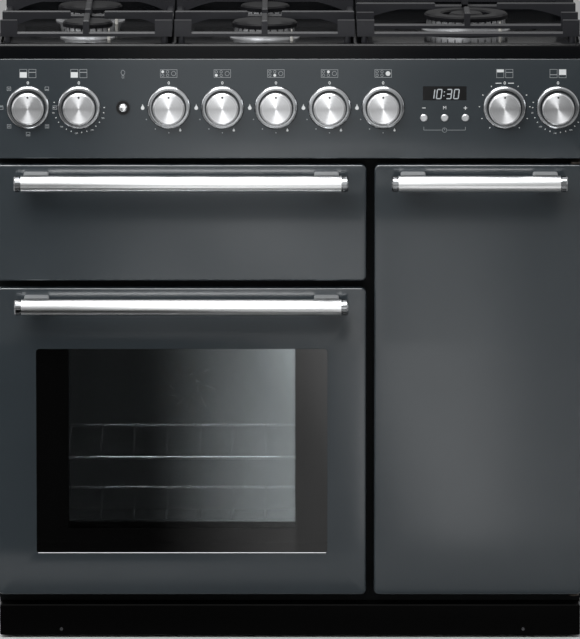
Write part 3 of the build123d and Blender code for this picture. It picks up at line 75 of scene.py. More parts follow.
# %% Camera
IMAGE_HEIGHT = 639
PIXELS_PER_METRE = 651.0
CAMERA_DISTANCE = 14.0
CAMERA_PITCH = math.radians(9.1)
AIM = Vector((0.0, FRONT_Y, 0.498))


def into_scene(name, data):
    """A new object with this data, as part of the scene."""
    made = bpy.data.objects.new(name, data)
    bpy.context.scene.collection.objects.link(made)
    return made


lens_data = bpy.data.cameras.new("camera")
lens_data.sensor_width = 36.0
lens_data.lens = lens_data.sensor_width * PIXELS_PER_METRE * CAMERA_DISTANCE / IMAGE_HEIGHT
lens_data.clip_end = 200.0
camera = into_scene("camera", lens_data)
view_line = Vector((0.0, math.cos(CAMERA_PITCH), -math.sin(CAMERA_PITCH)))
camera.location = AIM - CAMERA_DISTANCE * view_line
camera.rotation_euler = (math.pi / 2 - CAMERA_PITCH, 0.0, 0.0)
bpy.context.scene.camera = camera
print("lens", round(lens_data.lens, 1), "mm at height", round(camera.location.z, 3))

# %% [markdown]
# ## Colours and nodes
# Colours are written as sRGB codes, the way a colour picker shows them, and turned to linear light once,
# here. One small function adds a shader node: it sets sockets or properties by name and joins the inputs it
# is given.

# %% Helpers for colours and shader nodes
def linear(code):
    """A colour such as "45494c" as linear red, green, blue and alpha."""
    channels = [int(code[i:i + 2], 16) / 255 for i in (0, 2, 4)]
    values = [c / 12.92 if c <= 0.04045 else ((c + 0.055) / 1.055) ** 2.4 for c in channels]
    return (*values, 1.0)


def join(tree, source, node, key):
    """Joins an output, or a node's first output, to an input."""
    output = source.outputs[0] if isinstance(source, bpy.types.Node) else source
    tree.links.new(output, node.inputs[key])


def add(tree, kind, settings=None, links=None):
    """Adds a node to a tree, with its settings and the nodes or outputs that feed its inputs."""
    node = tree.nodes.new(kind)
    for key, value in (settings or {}).items():
        if isinstance(key, int) or key in node.inputs:
            node.inputs[key].default_value = value
        else:
            setattr(node, key, value)
    for key, source in (links or {}).items():
        join(tree, source, node, key)
    return node


def finish(name, **sockets):
    """A material with a Principled shader whose plain sockets are set, ready for its own nodes."""
    material = bpy.data.materials.new(name)
    material.use_nodes = True
    tree = material.node_tree
    shader = tree.nodes["Principled BSDF"]
    for key, value in sockets.items():
        shader.inputs[key.replace("_", " ")].default_value = value
    place = add(tree, "ShaderNodeTexCoord").outputs["Object"]
    return material, tree, shader, place


print("helpers ready")

# %% [markdown]
# ## Vitreous enamel
# The fronts are steel pressings under glass enamel, fired in a kiln. The eye sees a deep gloss with a faint
# orange-peel ripple a few millimetres across, and a slate colour that drifts a little over a large panel. The
# same recipe in black makes the hob and the flue upstand, and with hardly any gloss the paint of the plinth
# and of the frame behind the doors.

# %% Enamel finishes
# The colour drifts over about 140 mm.
DRIFT_SCALE = 7.0


def enamel(name, first, second, ripple_mm, ripple_depth, **sockets):
    """Glossy enamel: two near colours over a large drift, and a fine ripple."""
    material, tree, shader, place = finish(name, IOR=1.5, **sockets)
    drift = add(tree, "ShaderNodeTexNoise", {"Scale": DRIFT_SCALE, "Detail": 2.0}, {"Vector": place})
    colours = {"Color1": linear(first), "Color2": linear(second)}
    mixed = add(tree, "ShaderNodeMixRGB", colours, {"Fac": drift})
    join(tree, mixed, shader, "Base Color")
    fine = {"Scale": 1 / (ripple_mm * MM), "Detail": 1.0}
    ripple = add(tree, "ShaderNodeTexNoise", fine, {"Vector": place})
    relief = {"Strength": 1.0, "Distance": ripple_depth * MM}
    bump = add(tree, "ShaderNodeBump", relief, {"Height": ripple})
    join(tree, bump, shader, "Normal")
    return material


slate_enamel = enamel("slate_enamel", "2b3135", "31373b", 6.0, 0.005, Roughness=0.14)
black_enamel = enamel("black_enamel", "050608", "090a0c", 6.0, 0.012, Roughness=0.12, Specular_IOR_Level=0.14)
# The plinth and the frame behind the doors are painted, which gives a dull black with hardly any gloss.
plinth_paint = enamel("plinth_paint", "010101", "020202", 4.0, 0.012, Roughness=0.45, Specular_IOR_Level=0.03)
frame_paint = enamel("frame_paint", "0b0d0e", "0f1112", 4.0, 0.012, Roughness=0.45, Specular_IOR_Level=0.06)
print("enamels:", slate_enamel.name, black_enamel.name, plinth_paint.name, frame_paint.name)

# %% [markdown]
# ## Oven enamel
# Linings wear a hard dark enamel with pale specks fired into it, each about a millimetre across. A Voronoi
# pattern gives one speck per cell, and a threshold keeps only the middle of each cell.

# %% Speckled lining enamel
def speckled_enamel():
    material, tree, shader, place = finish("speckled_enamel", Roughness=0.28, IOR=1.5)
    cells = add(tree, "ShaderNodeTexVoronoi", {"Scale": 1 / (5.0 * MM)}, {"Vector": place})
    threshold = {"From Min": 0.10, "From Max": 0.16, "To Min": 1.0, "To Max": 0.0}
    speck = add(tree, "ShaderNodeMapRange", threshold, {"Value": cells})
    colours = {"Color1": linear("1b1c1e"), "Color2": linear("6b6d70")}
    mixed = add(tree, "ShaderNodeMixRGB", colours, {"Fac": speck})
    join(tree, mixed, shader, "Base Color")
    return material


lining_enamel = speckled_enamel()
print("lining:", lining_enamel.name)

# %% [markdown]
# ## Metals
# Handles are brushed along their length, knob faces are spun on a lathe so their scratches are rings, and the
# bezels are polished. The direction of the scratches is what the eye reads, so each metal has its own
# stretched grain: long thin streaks for brushing, and a grain that depends on the distance from the axis for
# spinning. Sheet that stays out of sight is galvanised and shows its crystals.

# %% Brushed, polished and plated metals
def brushed_metal(name, code, roughness):
    """Metal with streaks from front to back, about 0.4 mm wide and 60 mm long."""
    material, tree, shader, place = finish(name, Metallic=1.0, Roughness=roughness)
    shader.inputs["Base Color"].default_value = linear(code)
    streak = (1 / (0.4 * MM), 1 / (60 * MM), 1 / (0.4 * MM))
    grain_place = add(tree, "ShaderNodeMapping", {"Scale": streak}, {"Vector": place})
    grain = add(tree, "ShaderNodeTexNoise", {"Scale": 1.0, "Detail": 2.0}, {"Vector": grain_place})
    rough = add(tree, "ShaderNodeMapRange", {"To Min": roughness - 0.06, "To Max": roughness + 0.1},
                {"Value": grain})
    join(tree, rough, shader, "Roughness")
    bump = add(tree, "ShaderNodeBump", {"Strength": 0.4, "Distance": 0.01 * MM}, {"Height": grain})
    join(tree, bump, shader, "Normal")
    return material


def spangled_zinc():
    """Galvanised sheet: flat crystals of slightly different grey, about 9 mm across."""
    material, tree, shader, place = finish("galvanised_steel", Metallic=1.0, Roughness=0.42)
    crystals = add(tree, "ShaderNodeTexVoronoi", {"Scale": 1 / (9 * MM)}, {"Vector": place})
    grey = add(tree, "ShaderNodeRGBToBW", None, {"Color": crystals.outputs["Color"]})
    colours = {"Color1": linear("8d9091"), "Color2": linear("b3b6b8")}
    mixed = add(tree, "ShaderNodeMixRGB", colours, {"Fac": grey})
    join(tree, mixed, shader, "Base Color")
    rough = add(tree, "ShaderNodeMapRange", {"To Min": 0.34, "To Max": 0.5}, {"Value": grey})
    join(tree, rough, shader, "Roughness")
    return material


CAP_LENGTH = 10.5 * MM
BAR_THICKNESS = 23.5 * MM
# Roughness of the bar, of its caps and of the posts behind it.
SATIN, POLISHED, DULL_POSTS = (0.25, 0.31), 0.06, 0.55


def handle_metal(name, node):
    """A satin bar whose end caps are polished: the caps are told apart by their distance from the middle."""
    material, tree, shader, place = finish(name, Metallic=1.0)
    low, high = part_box(node)
    middle, half = (low[0] + high[0]) / 2, (high[0] - low[0]) / 2
    axes = add(tree, "ShaderNodeSeparateXYZ", None, {"Vector": place})
    offset = add(tree, "ShaderNodeMath", {"operation": "SUBTRACT", 1: middle}, {0: axes.outputs["X"]})
    distance = add(tree, "ShaderNodeMath", {"operation": "ABSOLUTE"}, {0: offset})
    cap = add(tree, "ShaderNodeMath", {"operation": "GREATER_THAN", 1: half - CAP_LENGTH}, {0: distance})
    # The caps get a darker grey than the bar: a painted reflection of the dark surroundings that polished
    # chrome mirrors.
    colours = {"Color1": linear("dfe0e1"), "Color2": linear("8b8d8f")}
    mixed = add(tree, "ShaderNodeMixRGB", colours, {"Fac": cap})
    # The posts behind the bar are darker and duller than the bar.
    post = add(tree, "ShaderNodeMath", {"operation": "GREATER_THAN", 1: low[1] + BAR_THICKNESS},
               {0: axes.outputs["Y"]})
    coloured = add(tree, "ShaderNodeMixRGB", {"Color2": linear("a0a2a4")}, {"Fac": post, "Color1": mixed})
    join(tree, coloured, shader, "Base Color")
    # Streaks 0.5 mm wide and 80 mm long run along the bar.
    streaks = add(tree, "ShaderNodeMapping", {"Scale": (1 / (80 * MM), 1 / (0.5 * MM), 1 / (0.5 * MM))},
                  {"Vector": place})
    grain = add(tree, "ShaderNodeTexNoise", {"Scale": 1.0, "Detail": 2.0}, {"Vector": streaks})
    satin = add(tree, "ShaderNodeMapRange", {"To Min": SATIN[0], "To Max": SATIN[1]}, {"Value": grain})
    bar = add(tree, "ShaderNodeMix", {"B": POLISHED}, {"Factor": cap, "A": satin})
    rough = add(tree, "ShaderNodeMix", {"B": DULL_POSTS}, {"Factor": post, "A": bar})
    join(tree, rough, shader, "Roughness")
    return material


left_handle_metal = handle_metal("satin_left_handles", "grill_handle")
right_handle_metal = handle_metal("satin_right_handle", "tall_handle")
galvanised = spangled_zinc()
print("metals:", left_handle_metal.name, right_handle_metal.name, galvanised.name)

# %% [markdown]
# ## Cast iron, cast alloy and the plain mouldings
# Pan supports are cast in sand and coated in matt enamel, so they keep a grain of about a millimetre. Burner
# crowns are die-cast alloy. Switch bodies and feet are moulded plastic with a fine spark-eroded texture.

# %% Grained finishes
def grained(name, first, second, grain_mm, depth_mm, **sockets):
    """A finish with a cast or moulded grain of that size."""
    material, tree, shader, place = finish(name, **sockets)
    grain = add(tree, "ShaderNodeTexNoise", {"Scale": 1 / (grain_mm * MM), "Detail": 4.0}, {"Vector": place})
    colours = {"Color1": linear(first), "Color2": linear(second)}
    mixed = add(tree, "ShaderNodeMixRGB", colours, {"Fac": grain})
    join(tree, mixed, shader, "Base Color")
    relief = {"Strength": 0.6, "Distance": depth_mm * MM}
    bump = add(tree, "ShaderNodeBump", relief, {"Height": grain})
    join(tree, bump, shader, "Normal")
    return material


cast_iron = grained("matt_cast_iron", "0b0c11", "13141a", 1.6, 0.12, Roughness=0.42, Specular_IOR_Level=0.3)
cap_enamel = grained("cap_enamel", "0d0d0f", "151518", 1.2, 0.03, Roughness=0.35, Specular_IOR_Level=0.1)
cast_alloy = grained("cast_alloy", "8f9092", "a9aaac", 1.2, 0.05, Roughness=0.45, Metallic=1.0)
black_moulding = grained("black_moulding", "070708", "0c0c0d", 0.8, 0.02, Roughness=0.3,
                         Specular_IOR_Level=0.3)
seal_rubber = grained("seal_rubber", "0c0c0c", "141414", 1.0, 0.03, Roughness=0.7)
glazed_ceramic = grained("glazed_ceramic", "c2c0ba", "d0cec9", 2.0, 0.01, Roughness=0.2)
valve_brass = grained("valve_brass", "a8874a", "b8975a", 1.0, 0.02, Roughness=0.3, Metallic=1.0)
print("grained finishes ready")

# %% [markdown]
# ## Spun knob faces
# A knob is turned on a lathe and its face is scratched in rings, so a highlight stretches into a bow tie,
# straight out from the knob's axis. A Mapping node moves that axis to the origin, and the place without its
# depth is then the direction for the shader. Each knob has its own axis, so each gets its own copy of the
# finish.

# %% Spun metal
KNOBS = ["oven_function_knob", "oven_temperature_knob", "rear_left_knob", "front_left_knob",
         "front_centre_knob", "rear_centre_knob", "wok_knob", "grill_knob", "tall_oven_knob"]


def centre_of(node):
    low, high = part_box(node)
    return (Vector(low) + Vector(high)) / 2


def spun_metal(name, centre):
    """Turned metal: rings of scratches round an axis that runs front to back."""
    material, tree, shader, place = finish(name, Metallic=1.0, Roughness=0.42, Anisotropic=0.9)
    centred = add(tree, "ShaderNodeMapping", {"Location": (-centre.x, 0.0, -centre.z)}, {"Vector": place})
    flat = add(tree, "ShaderNodeVectorMath", {"operation": "MULTIPLY", 1: (1.0, 0.0, 1.0)}, {0: centred})
    join(tree, flat, shader, "Tangent")
    radius = add(tree, "ShaderNodeVectorMath", {"operation": "LENGTH"}, {0: flat})
    # Real tool marks are about 0.2 mm apart, too fine to show, so they are drawn 1.5 mm apart.
    rings = {"noise_dimensions": "1D", "Scale": 1 / (1.5 * MM), "Detail": 1.0}
    marks = add(tree, "ShaderNodeTexNoise", rings, {"W": radius.outputs["Value"]})
    colours = {"Color1": linear("afb0b2"), "Color2": linear("c6c7c8")}
    mixed = add(tree, "ShaderNodeMixRGB", colours, {"Fac": marks})
    join(tree, mixed, shader, "Base Color")
    return material


knob_metal = {knob: spun_metal("spun_" + knob, centre_of(knob)) for knob in KNOBS}
print("spun faces:", len(knob_metal))

# %% [markdown]
# ## Glass
# The oven door has two panes of toughened glass. What shows is mostly reflection, with the dark cavity behind
# it, and a faint bloom of old fingerprints that makes the gloss uneven over some centimetres.

# %% Oven glass and smoked lens
def glass(name, code, transmission, roughness):
    material, tree, shader, place = finish(name, IOR=1.5, Transmission_Weight=transmission)
    shader.inputs["Base Color"].default_value = linear(code)
    bloom = add(tree, "ShaderNodeTexNoise", {"Scale": 1 / (40 * MM), "Detail": 3.0}, {"Vector": place})
    rough = add(tree, "ShaderNodeMapRange", {"To Min": roughness * 0.5, "To Max": roughness * 1.5},
                {"Value": bloom})
    join(tree, rough, shader, "Roughness")
    return material


oven_glass = glass("toughened_glass", "e6eaeb", 1.0, 0.03)
smoked_lens = glass("smoked_lens", "0c0d0e", 0.0, 0.12)
print("glass:", oven_glass.name, smoked_lens.name)

# %% [markdown]
# ## Finishes on the solids
# The solids come as loose triangles. A Weld modifier joins them and an Edge Split modifier keeps the folds
# sharp, so that the round parts shade smoothly. The solids themselves stay as they are.

# %% Assign finishes and smooth the round parts
polished_bezel = brushed_metal("polished_bezel", "929496", 0.16)
chrome_wire = brushed_metal("chromed_wire", "c9cacc", 0.16)
satin_button = grained("satin_button", "b4b6b8", "c2c4c6", 0.9, 0.01, Roughness=0.38, Metallic=1.0)
oxidised_sheath = grained("oxidised_sheath", "35312e", "4b4540", 6.0, 0.02, Roughness=0.5, Metallic=1.0)
FINISHES = [
    (slate_enamel, ["control_panel", "grill_door", "oven_door_panel", "tall_door_panel", "side_panel_left",
                    "side_panel_right"]),
    (black_enamel, ["hob_tray", "rear_vent"]),
    (plinth_paint, ["plinth"]),
    (frame_paint, ["front_frame"]),
    (cap_enamel, ["burner_caps"]),
    (lining_enamel, ["grill_liner", "oven_liner", "tall_oven_liner", "grill_pan", "fan_covers",
                     "oven_door_liner", "tall_door_liner", "grill_carriage"]),
    (galvanised, ["base_tray", "back_panel", "gas_rail", "burner_pipes", "fan_motors"]),
    (oxidised_sheath, ["grill_element", "oven_fan", "tall_oven_fan", "oven_hinge_brackets",
                       "tall_oven_hinge_brackets"]),
    (chrome_wire, ["side_racks", "oven_shelves"]),
    (polished_bezel, ["knob_bezels"]),
    (left_handle_metal, ["grill_handle", "oven_handle"]),
    (right_handle_metal, ["tall_handle"]),
    (satin_button, ["minus_button", "mode_button", "plus_button", "light_button"]),
    (cast_iron, ["pan_support_left", "pan_support_centre", "pan_support_right"]),
    (cast_alloy, ["burner_bases"]),
    (valve_brass, ["gas_valves"]),
    (black_moulding, ["panel_switches", "front_feet", "rear_rollers"]),
    (smoked_lens, ["clock_module"]),
    (glazed_ceramic, ["spark_electrodes"]),
    (oven_glass, ["oven_door_glass"]),
    (seal_rubber, ["door_seals"]),
]
FINISHES += [(knob_metal[knob], [knob]) for knob in KNOBS]

for material, names in FINISHES:
    for name in names:
        solid = nodes[name]
        solid.data.materials.clear()
        solid.data.materials.append(material)
        solid.data.shade_smooth()
        weld = solid.modifiers.new("weld", "WELD")
        weld.merge_threshold = 0.01 * MM
        folds = solid.modifiers.new("folds", "EDGE_SPLIT")
        folds.split_angle = math.radians(30)
dressed = {name for material, names in FINISHES for name in names}
print("solids without a finish:", sorted(set(nodes) - dressed))

# %% [markdown]
# ## Flat ink
# The panel is printed in white and grey ceramic ink that is fired into the enamel. Such marks are flat, so
# each is a polygon in millimetres, X to the right and Z up, lifted a little off the face. There are no words,
# only signs and numbers, so plain polygons and the built-in typeface are enough.

# %% Shapes for the ink
def circle(x, z, radius, count=20):
    turns = [2 * math.pi * i / count for i in range(count)]
    return [(x + radius * math.cos(turn), z + radius * math.sin(turn)) for turn in turns]


def ring(x, z, width, height, line, count=20):
    """A closed line round an ellipse, as a chain of four-sided polygons."""
    turns = [2 * math.pi * i / count for i in range(count + 1)]
    outer = [(x + width / 2 * math.cos(turn), z + height / 2 * math.sin(turn)) for turn in turns]
    inside = (width / 2 - line, height / 2 - line)
    inner = [(x + inside[0] * math.cos(turn), z + inside[1] * math.sin(turn)) for turn in turns]
    return [[outer[i], outer[i + 1], inner[i + 1], inner[i]] for i in range(count)]


def filled(x, z, width, height):
    return [(x - width / 2, z - height / 2), (x + width / 2, z - height / 2),
            (x + width / 2, z + height / 2), (x - width / 2, z + height / 2)]


def outlined(x, z, width, height, line):
    """A rectangle drawn as four strokes that don't overlap."""
    up, across = (height - line) / 2, (width - line) / 2
    upright = height - 2 * line
    return [filled(x, z + up, width, line), filled(x, z - up, width, line),
            filled(x + across, z, line, upright), filled(x - across, z, line, upright)]


def flame(x, z, width, height):
    half = [(0.12, 0.2), (0.3, 0.0), (0.4, -0.2), (0.27, -0.42)]
    right = [(x + width * across, z + height * up) for across, up in half]
    left = [(x - width * across, z + height * up) for across, up in reversed(half)]
    return [(x, z + height / 2)] + right + [(x, z - height / 2)] + left


def lettering(body, x, z, height):
    """Numbers or a sign in the built-in typeface, as polygons."""
    curve = bpy.data.curves.new("lettering", "FONT")
    curve.body = body
    curve.size = height / CAPITAL_SHARE
    curve.align_x = "CENTER"
    curve.align_y = "CENTER"
    curve.resolution_u = 2
    holder = into_scene("lettering", curve)
    mesh = bpy.data.meshes.new_from_object(holder.evaluated_get(bpy.context.evaluated_depsgraph_get()))
    bpy.data.objects.remove(holder)
    spots = [(x + vertex.co.x, z + vertex.co.y) for vertex in mesh.vertices]
    return [[spots[i] for i in face.vertices] for face in mesh.polygons]


def mesh_piece(name, corners, faces, material):
    mesh = bpy.data.meshes.new(name)
    mesh.from_pydata(corners, [], faces)
    mesh.materials.append(material)
    return into_scene(name, mesh)


def flat_piece(name, polygons, depth_mm, material):
    """A flat mesh that faces the front, at a depth behind the door faces."""
    corners = []
    faces = []
    for polygon in polygons:
        follow = polygon[1:] + polygon[:1]
        area = sum(x0 * z1 - x1 * z0 for (x0, z0), (x1, z1) in zip(polygon, follow))
        turned = polygon if area > 0 else polygon[::-1]
        faces.append(list(range(len(corners), len(corners) + len(turned))))
        corners += [(x * MM, FRONT_Y + depth_mm * MM, z * MM) for x, z in turned]
    return mesh_piece(name, corners, faces, material)


# Capitals of the built-in typeface are about this share of its size.
CAPITAL_SHARE = 0.72
INK_DEPTH = -0.06
white_ink = grained("white_ceramic_ink", "c9cccd", "d8dadb", 0.7, 0.005, Roughness=0.4)
grey_ink = grained("grey_ceramic_ink", "85898c", "95999b", 0.7, 0.005, Roughness=0.4)
print("inks:", white_ink.name, grey_ink.name)

# %% [markdown]
# ## Signs over the knobs
# Each knob has a small picture of what it works. The oven knobs show the two columns of the cooker's front
# with one compartment filled in, and the hob knobs show the five burners with one filled in. Below each
# picture is the zero that the knob's dot points at.

# %% Pictures and zeros
KNOB_X = {knob: centre_of(knob).x / MM for knob in KNOBS}
KNOB_Z = centre_of("wok_knob").z / MM
PICTURE_Z = KNOB_Z + 52.5
ZERO_Z = KNOB_Z + 38.0
CELL_WIDTH, CELL_HEIGHT, CELL_STEP = 11.6, 13.4, 6.9
DIVIDER_SHIFT = 1.8
HOB_WIDTH, HOB_HEIGHT = 26.0, 12.4
ZERO_WIDTH, ZERO_HEIGHT, ZERO_LINE = 3.4, 4.8, 0.9
THIN, BOLD = 0.6, 1.1
white = []
grey = []
# For each knob: the column that is filled, and the filled part's foot and top as shares of the cell.
COMPARTMENTS = {"oven_function_knob": (-1, 0.04, 0.66), "oven_temperature_knob": (-1, 0.04, 0.66),
                "grill_knob": (-1, 0.64, 0.96), "tall_oven_knob": (1, 0.34, 0.96)}
for knob, (column, foot, top) in COMPARTMENTS.items():
    for side in (-1, 1):
        cell_x = KNOB_X[knob] + side * CELL_STEP
        grey += outlined(cell_x, PICTURE_Z, CELL_WIDTH, CELL_HEIGHT, THIN)
        if side == column:
            middle_z = PICTURE_Z + ((foot + top) / 2 - 0.5) * CELL_HEIGHT
            white.append(filled(cell_x, middle_z, CELL_WIDTH - 2 * THIN, (top - foot) * CELL_HEIGHT))
        else:
            grey.append(filled(cell_x, PICTURE_Z - column * DIVIDER_SHIFT, CELL_WIDTH - 2 * THIN, BOLD))

# Burners in the picture: the knob, the place in mm from the middle and the size.
BURNERS = [("rear_left_knob", -9.2, 2.7, 4.4), ("front_left_knob", -9.2, -2.7, 4.4),
           ("front_centre_knob", -1.8, -2.7, 4.4), ("rear_centre_knob", -1.8, 2.7, 4.4),
           ("wok_knob", 7.4, 0.0, 7.2)]
HOB_KNOBS = KNOBS[2:7]
for knob in HOB_KNOBS:
    grey += outlined(KNOB_X[knob], PICTURE_Z, HOB_WIDTH, HOB_HEIGHT, THIN)
    for fed, across, up, size in BURNERS:
        place = (KNOB_X[knob] + across, PICTURE_Z + up)
        if fed == knob:
            white.append(circle(*place, size / 2))
        else:
            grey += ring(*place, size, size, THIN)
for knob in KNOBS:
    white += ring(KNOB_X[knob], ZERO_Z, ZERO_WIDTH, ZERO_HEIGHT, ZERO_LINE)
# Over the light button, a lamp: its bulb and its socket.
LIGHT_X = centre_of("light_button").x / MM
grey += ring(LIGHT_X, PICTURE_Z + 1.5, 6.4, 8.0, THIN)
grey += outlined(LIGHT_X, PICTURE_Z - 5.0, 3.4, 4.6, THIN)
print("pictures drawn from", len(white) + len(grey), "polygons")

# %% [markdown]
# ## Marks round the knobs
# The oven's function knob has a square sign every eighth of a turn. The hob knobs have a large flame at the
# left and a small one below at the right, with dots between. The oven temperatures are numbers round the
# lower half.

# %% Signs, flames and numbers
def around(knob, radius, degrees):
    """The place at a distance from a knob's axis, turned upwards from the right."""
    turn = math.radians(degrees)
    return KNOB_X[knob] + radius * math.cos(turn), KNOB_Z + radius * math.sin(turn)


SIGN_RADIUS, SIGN, SIGN_RING = 41.0, 6.2, 2.8
SIGN_BAR, SIGN_BAR_SHIFT = SIGN - 2.2, 1.2
for place in range(7):
    x, z = around("oven_function_knob", SIGN_RADIUS, 45 - 45 * place)
    grey += outlined(x, z, SIGN, SIGN, THIN)
    if place in (0, 2, 3):
        grey.append(filled(x, z - SIGN_BAR_SHIFT, SIGN_BAR, BOLD))
    if place in (2, 5):
        grey.append(filled(x, z + SIGN_BAR_SHIFT, SIGN_BAR, BOLD))
    if place in (1, 4, 6):
        grey += ring(x, z, SIGN_RING, SIGN_RING, THIN, 12)
LARGE_FLAME_REACH, SMALL_FLAME_RADIUS, DOT_RADIUS, NUMBER_RADIUS = 40.0, 38.5, 39.0, 40.0
LARGE_FLAME, SMALL_FLAME, DOT, NUMBER_HEIGHT = (7.4, 9.4), (4.6, 5.6), 0.9, 2.3
for knob in HOB_KNOBS:
    white.append(flame(KNOB_X[knob] - LARGE_FLAME_REACH, KNOB_Z + 1.0, *LARGE_FLAME))
    white.append(flame(*around(knob, SMALL_FLAME_RADIUS, -63), *SMALL_FLAME))
    for degrees in (208, 238, 270):
        grey.append(circle(*around(knob, DOT_RADIUS, degrees), DOT, 10))
for knob in ("oven_temperature_knob", "tall_oven_knob"):
    for place, number in enumerate(("250", "200", "150", "100", "50")):
        white += lettering(number, *around(knob, NUMBER_RADIUS, -24 - 36 * place), NUMBER_HEIGHT)
print("marks drawn, polygons now", len(white) + len(grey))

# %% [markdown]
# ## Ticks
# Between the numbers the dials have ticks, and the grill knob has a row on each side. Ticks repeat, so
# Geometry Nodes place them: every point of a small mesh carries the turn of its tick, and the tree puts a
# thin plate on each point, turned to face the front and to point at the middle of the knob.

# %% A tree that puts a tick on every point
def make_tree(name, lengths):
    """A Geometry Nodes tree with inputs for points, lengths and a finish, and the inputs' identifiers."""
    tree = bpy.data.node_groups.new(name, "GeometryNodeTree")
    kinds = {"Points": "NodeSocketGeometry", "Finish": "NodeSocketMaterial"}
    identifiers = {}
    for label in ["Points", *lengths, "Finish"]:
        kind = kinds.get(label, "NodeSocketFloat")
        identifiers[label] = tree.interface.new_socket(label, in_out="INPUT", socket_type=kind).identifier
    tree.interface.new_socket("Geometry", in_out="OUTPUT", socket_type="NodeSocketGeometry")
    return tree, identifiers


def put_on_points(tree, source, shape, rotation):
    """The end of a tree: a copy of the shape on every point, turned, as one mesh with its finish."""
    placed = add(tree, "GeometryNodeInstanceOnPoints", None,
                 {"Points": source.outputs["Points"], "Instance": shape, "Rotation": rotation})
    meshed = add(tree, "GeometryNodeRealizeInstances", None, {"Geometry": placed})
    finished = add(tree, "GeometryNodeSetMaterial", None,
                   {"Geometry": meshed, "Material": source.outputs["Finish"]})
    add(tree, "NodeGroupOutput", None, {"Geometry": finished})


tick_tree, tick_inputs = make_tree("ticks", ["Length", "Width"])
source = add(tick_tree, "NodeGroupInput")
plate = add(tick_tree, "GeometryNodeMeshGrid", {"Vertices X": 2, "Vertices Y": 2},
            {"Size X": source.outputs["Length"], "Size Y": source.outputs["Width"]})
turn_value = add(tick_tree, "GeometryNodeInputNamedAttribute", {"data_type": "FLOAT", "Name": "turn"})
spin = add(tick_tree, "ShaderNodeMath", {"operation": "MULTIPLY", 1: -1.0},
           {0: turn_value.outputs["Attribute"]})
facing = add(tick_tree, "ShaderNodeCombineXYZ", {"X": math.pi / 2}, {"Y": spin})
put_on_points(tick_tree, source, plate, facing)


def grow(name, tree, identifiers, points, attribute, values, settings):
    """Runs a tree on points that carry an attribute, and keeps the result as a plain mesh."""
    seeds = bpy.data.meshes.new(name)
    seeds.from_pydata(points, [], [])
    kind = "FLOAT" if isinstance(values[0], float) else "FLOAT_VECTOR"
    layer = seeds.attributes.new(attribute, kind, "POINT")
    for item, value in zip(layer.data, values):
        if kind == "FLOAT":
            item.value = value
        else:
            item.vector = value
    piece = into_scene(name, seeds)
    modifier = piece.modifiers.new("grow", "NODES")
    modifier.node_group = tree
    for label, value in settings.items():
        modifier[identifiers[label]] = value
    made = bpy.data.meshes.new_from_object(piece.evaluated_get(bpy.context.evaluated_depsgraph_get()))
    piece.modifiers.remove(modifier)
    piece.data = made
    return piece


TICK_RADIUS, TICK_LENGTH, TICK_WIDTH = 38.6, 1.9, 1.3
tick_places = []
for knob in ("oven_temperature_knob", "tall_oven_knob"):
    for place in range(17):
        at_panel_edge = knob == "tall_oven_knob" and place == 0
        if place % 3 != 2 and not at_panel_edge:
            tick_places.append((knob, -12 * place))
for place in range(5):
    tick_places += [("grill_knob", 58 - 28 * place), ("grill_knob", 122 + 28 * place)]
tick_points = []
for knob, degrees in tick_places:
    x, z = around(knob, TICK_RADIUS, degrees)
    tick_points.append((x * MM, FRONT_Y + INK_DEPTH * MM, z * MM))
tick_turns = [math.radians(degrees) for knob, degrees in tick_places]
ticks = grow("dial_ticks", tick_tree, tick_inputs, tick_points, "turn", tick_turns,
             {"Length": TICK_LENGTH * MM, "Width": TICK_WIDTH * MM, "Finish": white_ink})
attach(ticks, "cabinet")
# A bar on each side of the grill knob's zero.
for side in (-1, 1):
    white.append(filled(KNOB_X["grill_knob"] + side * 9.5, ZERO_Z - 0.4, 9.0, 1.2))
print("ticks:", len(tick_points), "with", len(ticks.data.polygons), "faces")

# %% [markdown]
# ## Clock
# The clock is a dark display with pale figures made of slanted bars. Each figure is a choice of the same
# seven bars, and each bar is a rectangle that is pushed to the right as it rises.

# %% Figures of the display
DISPLAY_X = centre_of("clock_module").x / MM
DISPLAY_Z = KNOB_Z + 20.8
FIGURE_WIDTH, FIGURE_HEIGHT, BAR, BAR_GAP, SLANT = 8.6, 15.8, 1.6, 0.5, 0.12
# For each bar: the place of its middle as shares of the figure, and whether it lies flat.
BARS = {"top": (0, 0.5, True), "middle": (0, 0, True), "foot": (0, -0.5, True),
        "upper_left": (-0.5, 0.25, False), "upper_right": (0.5, 0.25, False),
        "lower_left": (-0.5, -0.25, False), "lower_right": (0.5, -0.25, False)}
FIGURES = {"1": ["upper_right", "lower_right"],
           "0": ["top", "foot", "upper_left", "upper_right", "lower_left", "lower_right"],
           "3": ["top", "middle", "foot", "upper_right", "lower_right"]}
FIGURE_PLACES = [("1", -19.4), ("0", -8.4), ("3", 6.8), ("0", 18.0)]
COLON_X, COLON_HEIGHTS = DISPLAY_X - 0.8, (-2.6, 3.4)
glowing = []


def slanted(polygon):
    return [(x + SLANT * (z - DISPLAY_Z), z) for x, z in polygon]


for figure, shift in FIGURE_PLACES:
    for name in FIGURES[figure]:
        across, up, flat = BARS[name]
        x = DISPLAY_X + shift + across * (FIGURE_WIDTH - BAR)
        z = DISPLAY_Z + up * (FIGURE_HEIGHT - BAR)
        width = FIGURE_WIDTH - BAR - BAR_GAP if flat else BAR
        height = BAR if flat else (FIGURE_HEIGHT - BAR) / 2 - BAR_GAP
        glowing.append(slanted(filled(x, z, width, height)))
for up in COLON_HEIGHTS:
    glowing.append(slanted(circle(COLON_X, DISPLAY_Z + up, DOT, 10)))
print("display drawn from", len(glowing), "polygons")

# %% [markdown]
# ## Buttons of the clock, and the prints
# The three buttons have a minus, an M for the menu and a plus. A grey line under them joins the outer two,
# with a small clock face in its middle. All the white ink, all the grey ink and the figures then become one
# piece each.

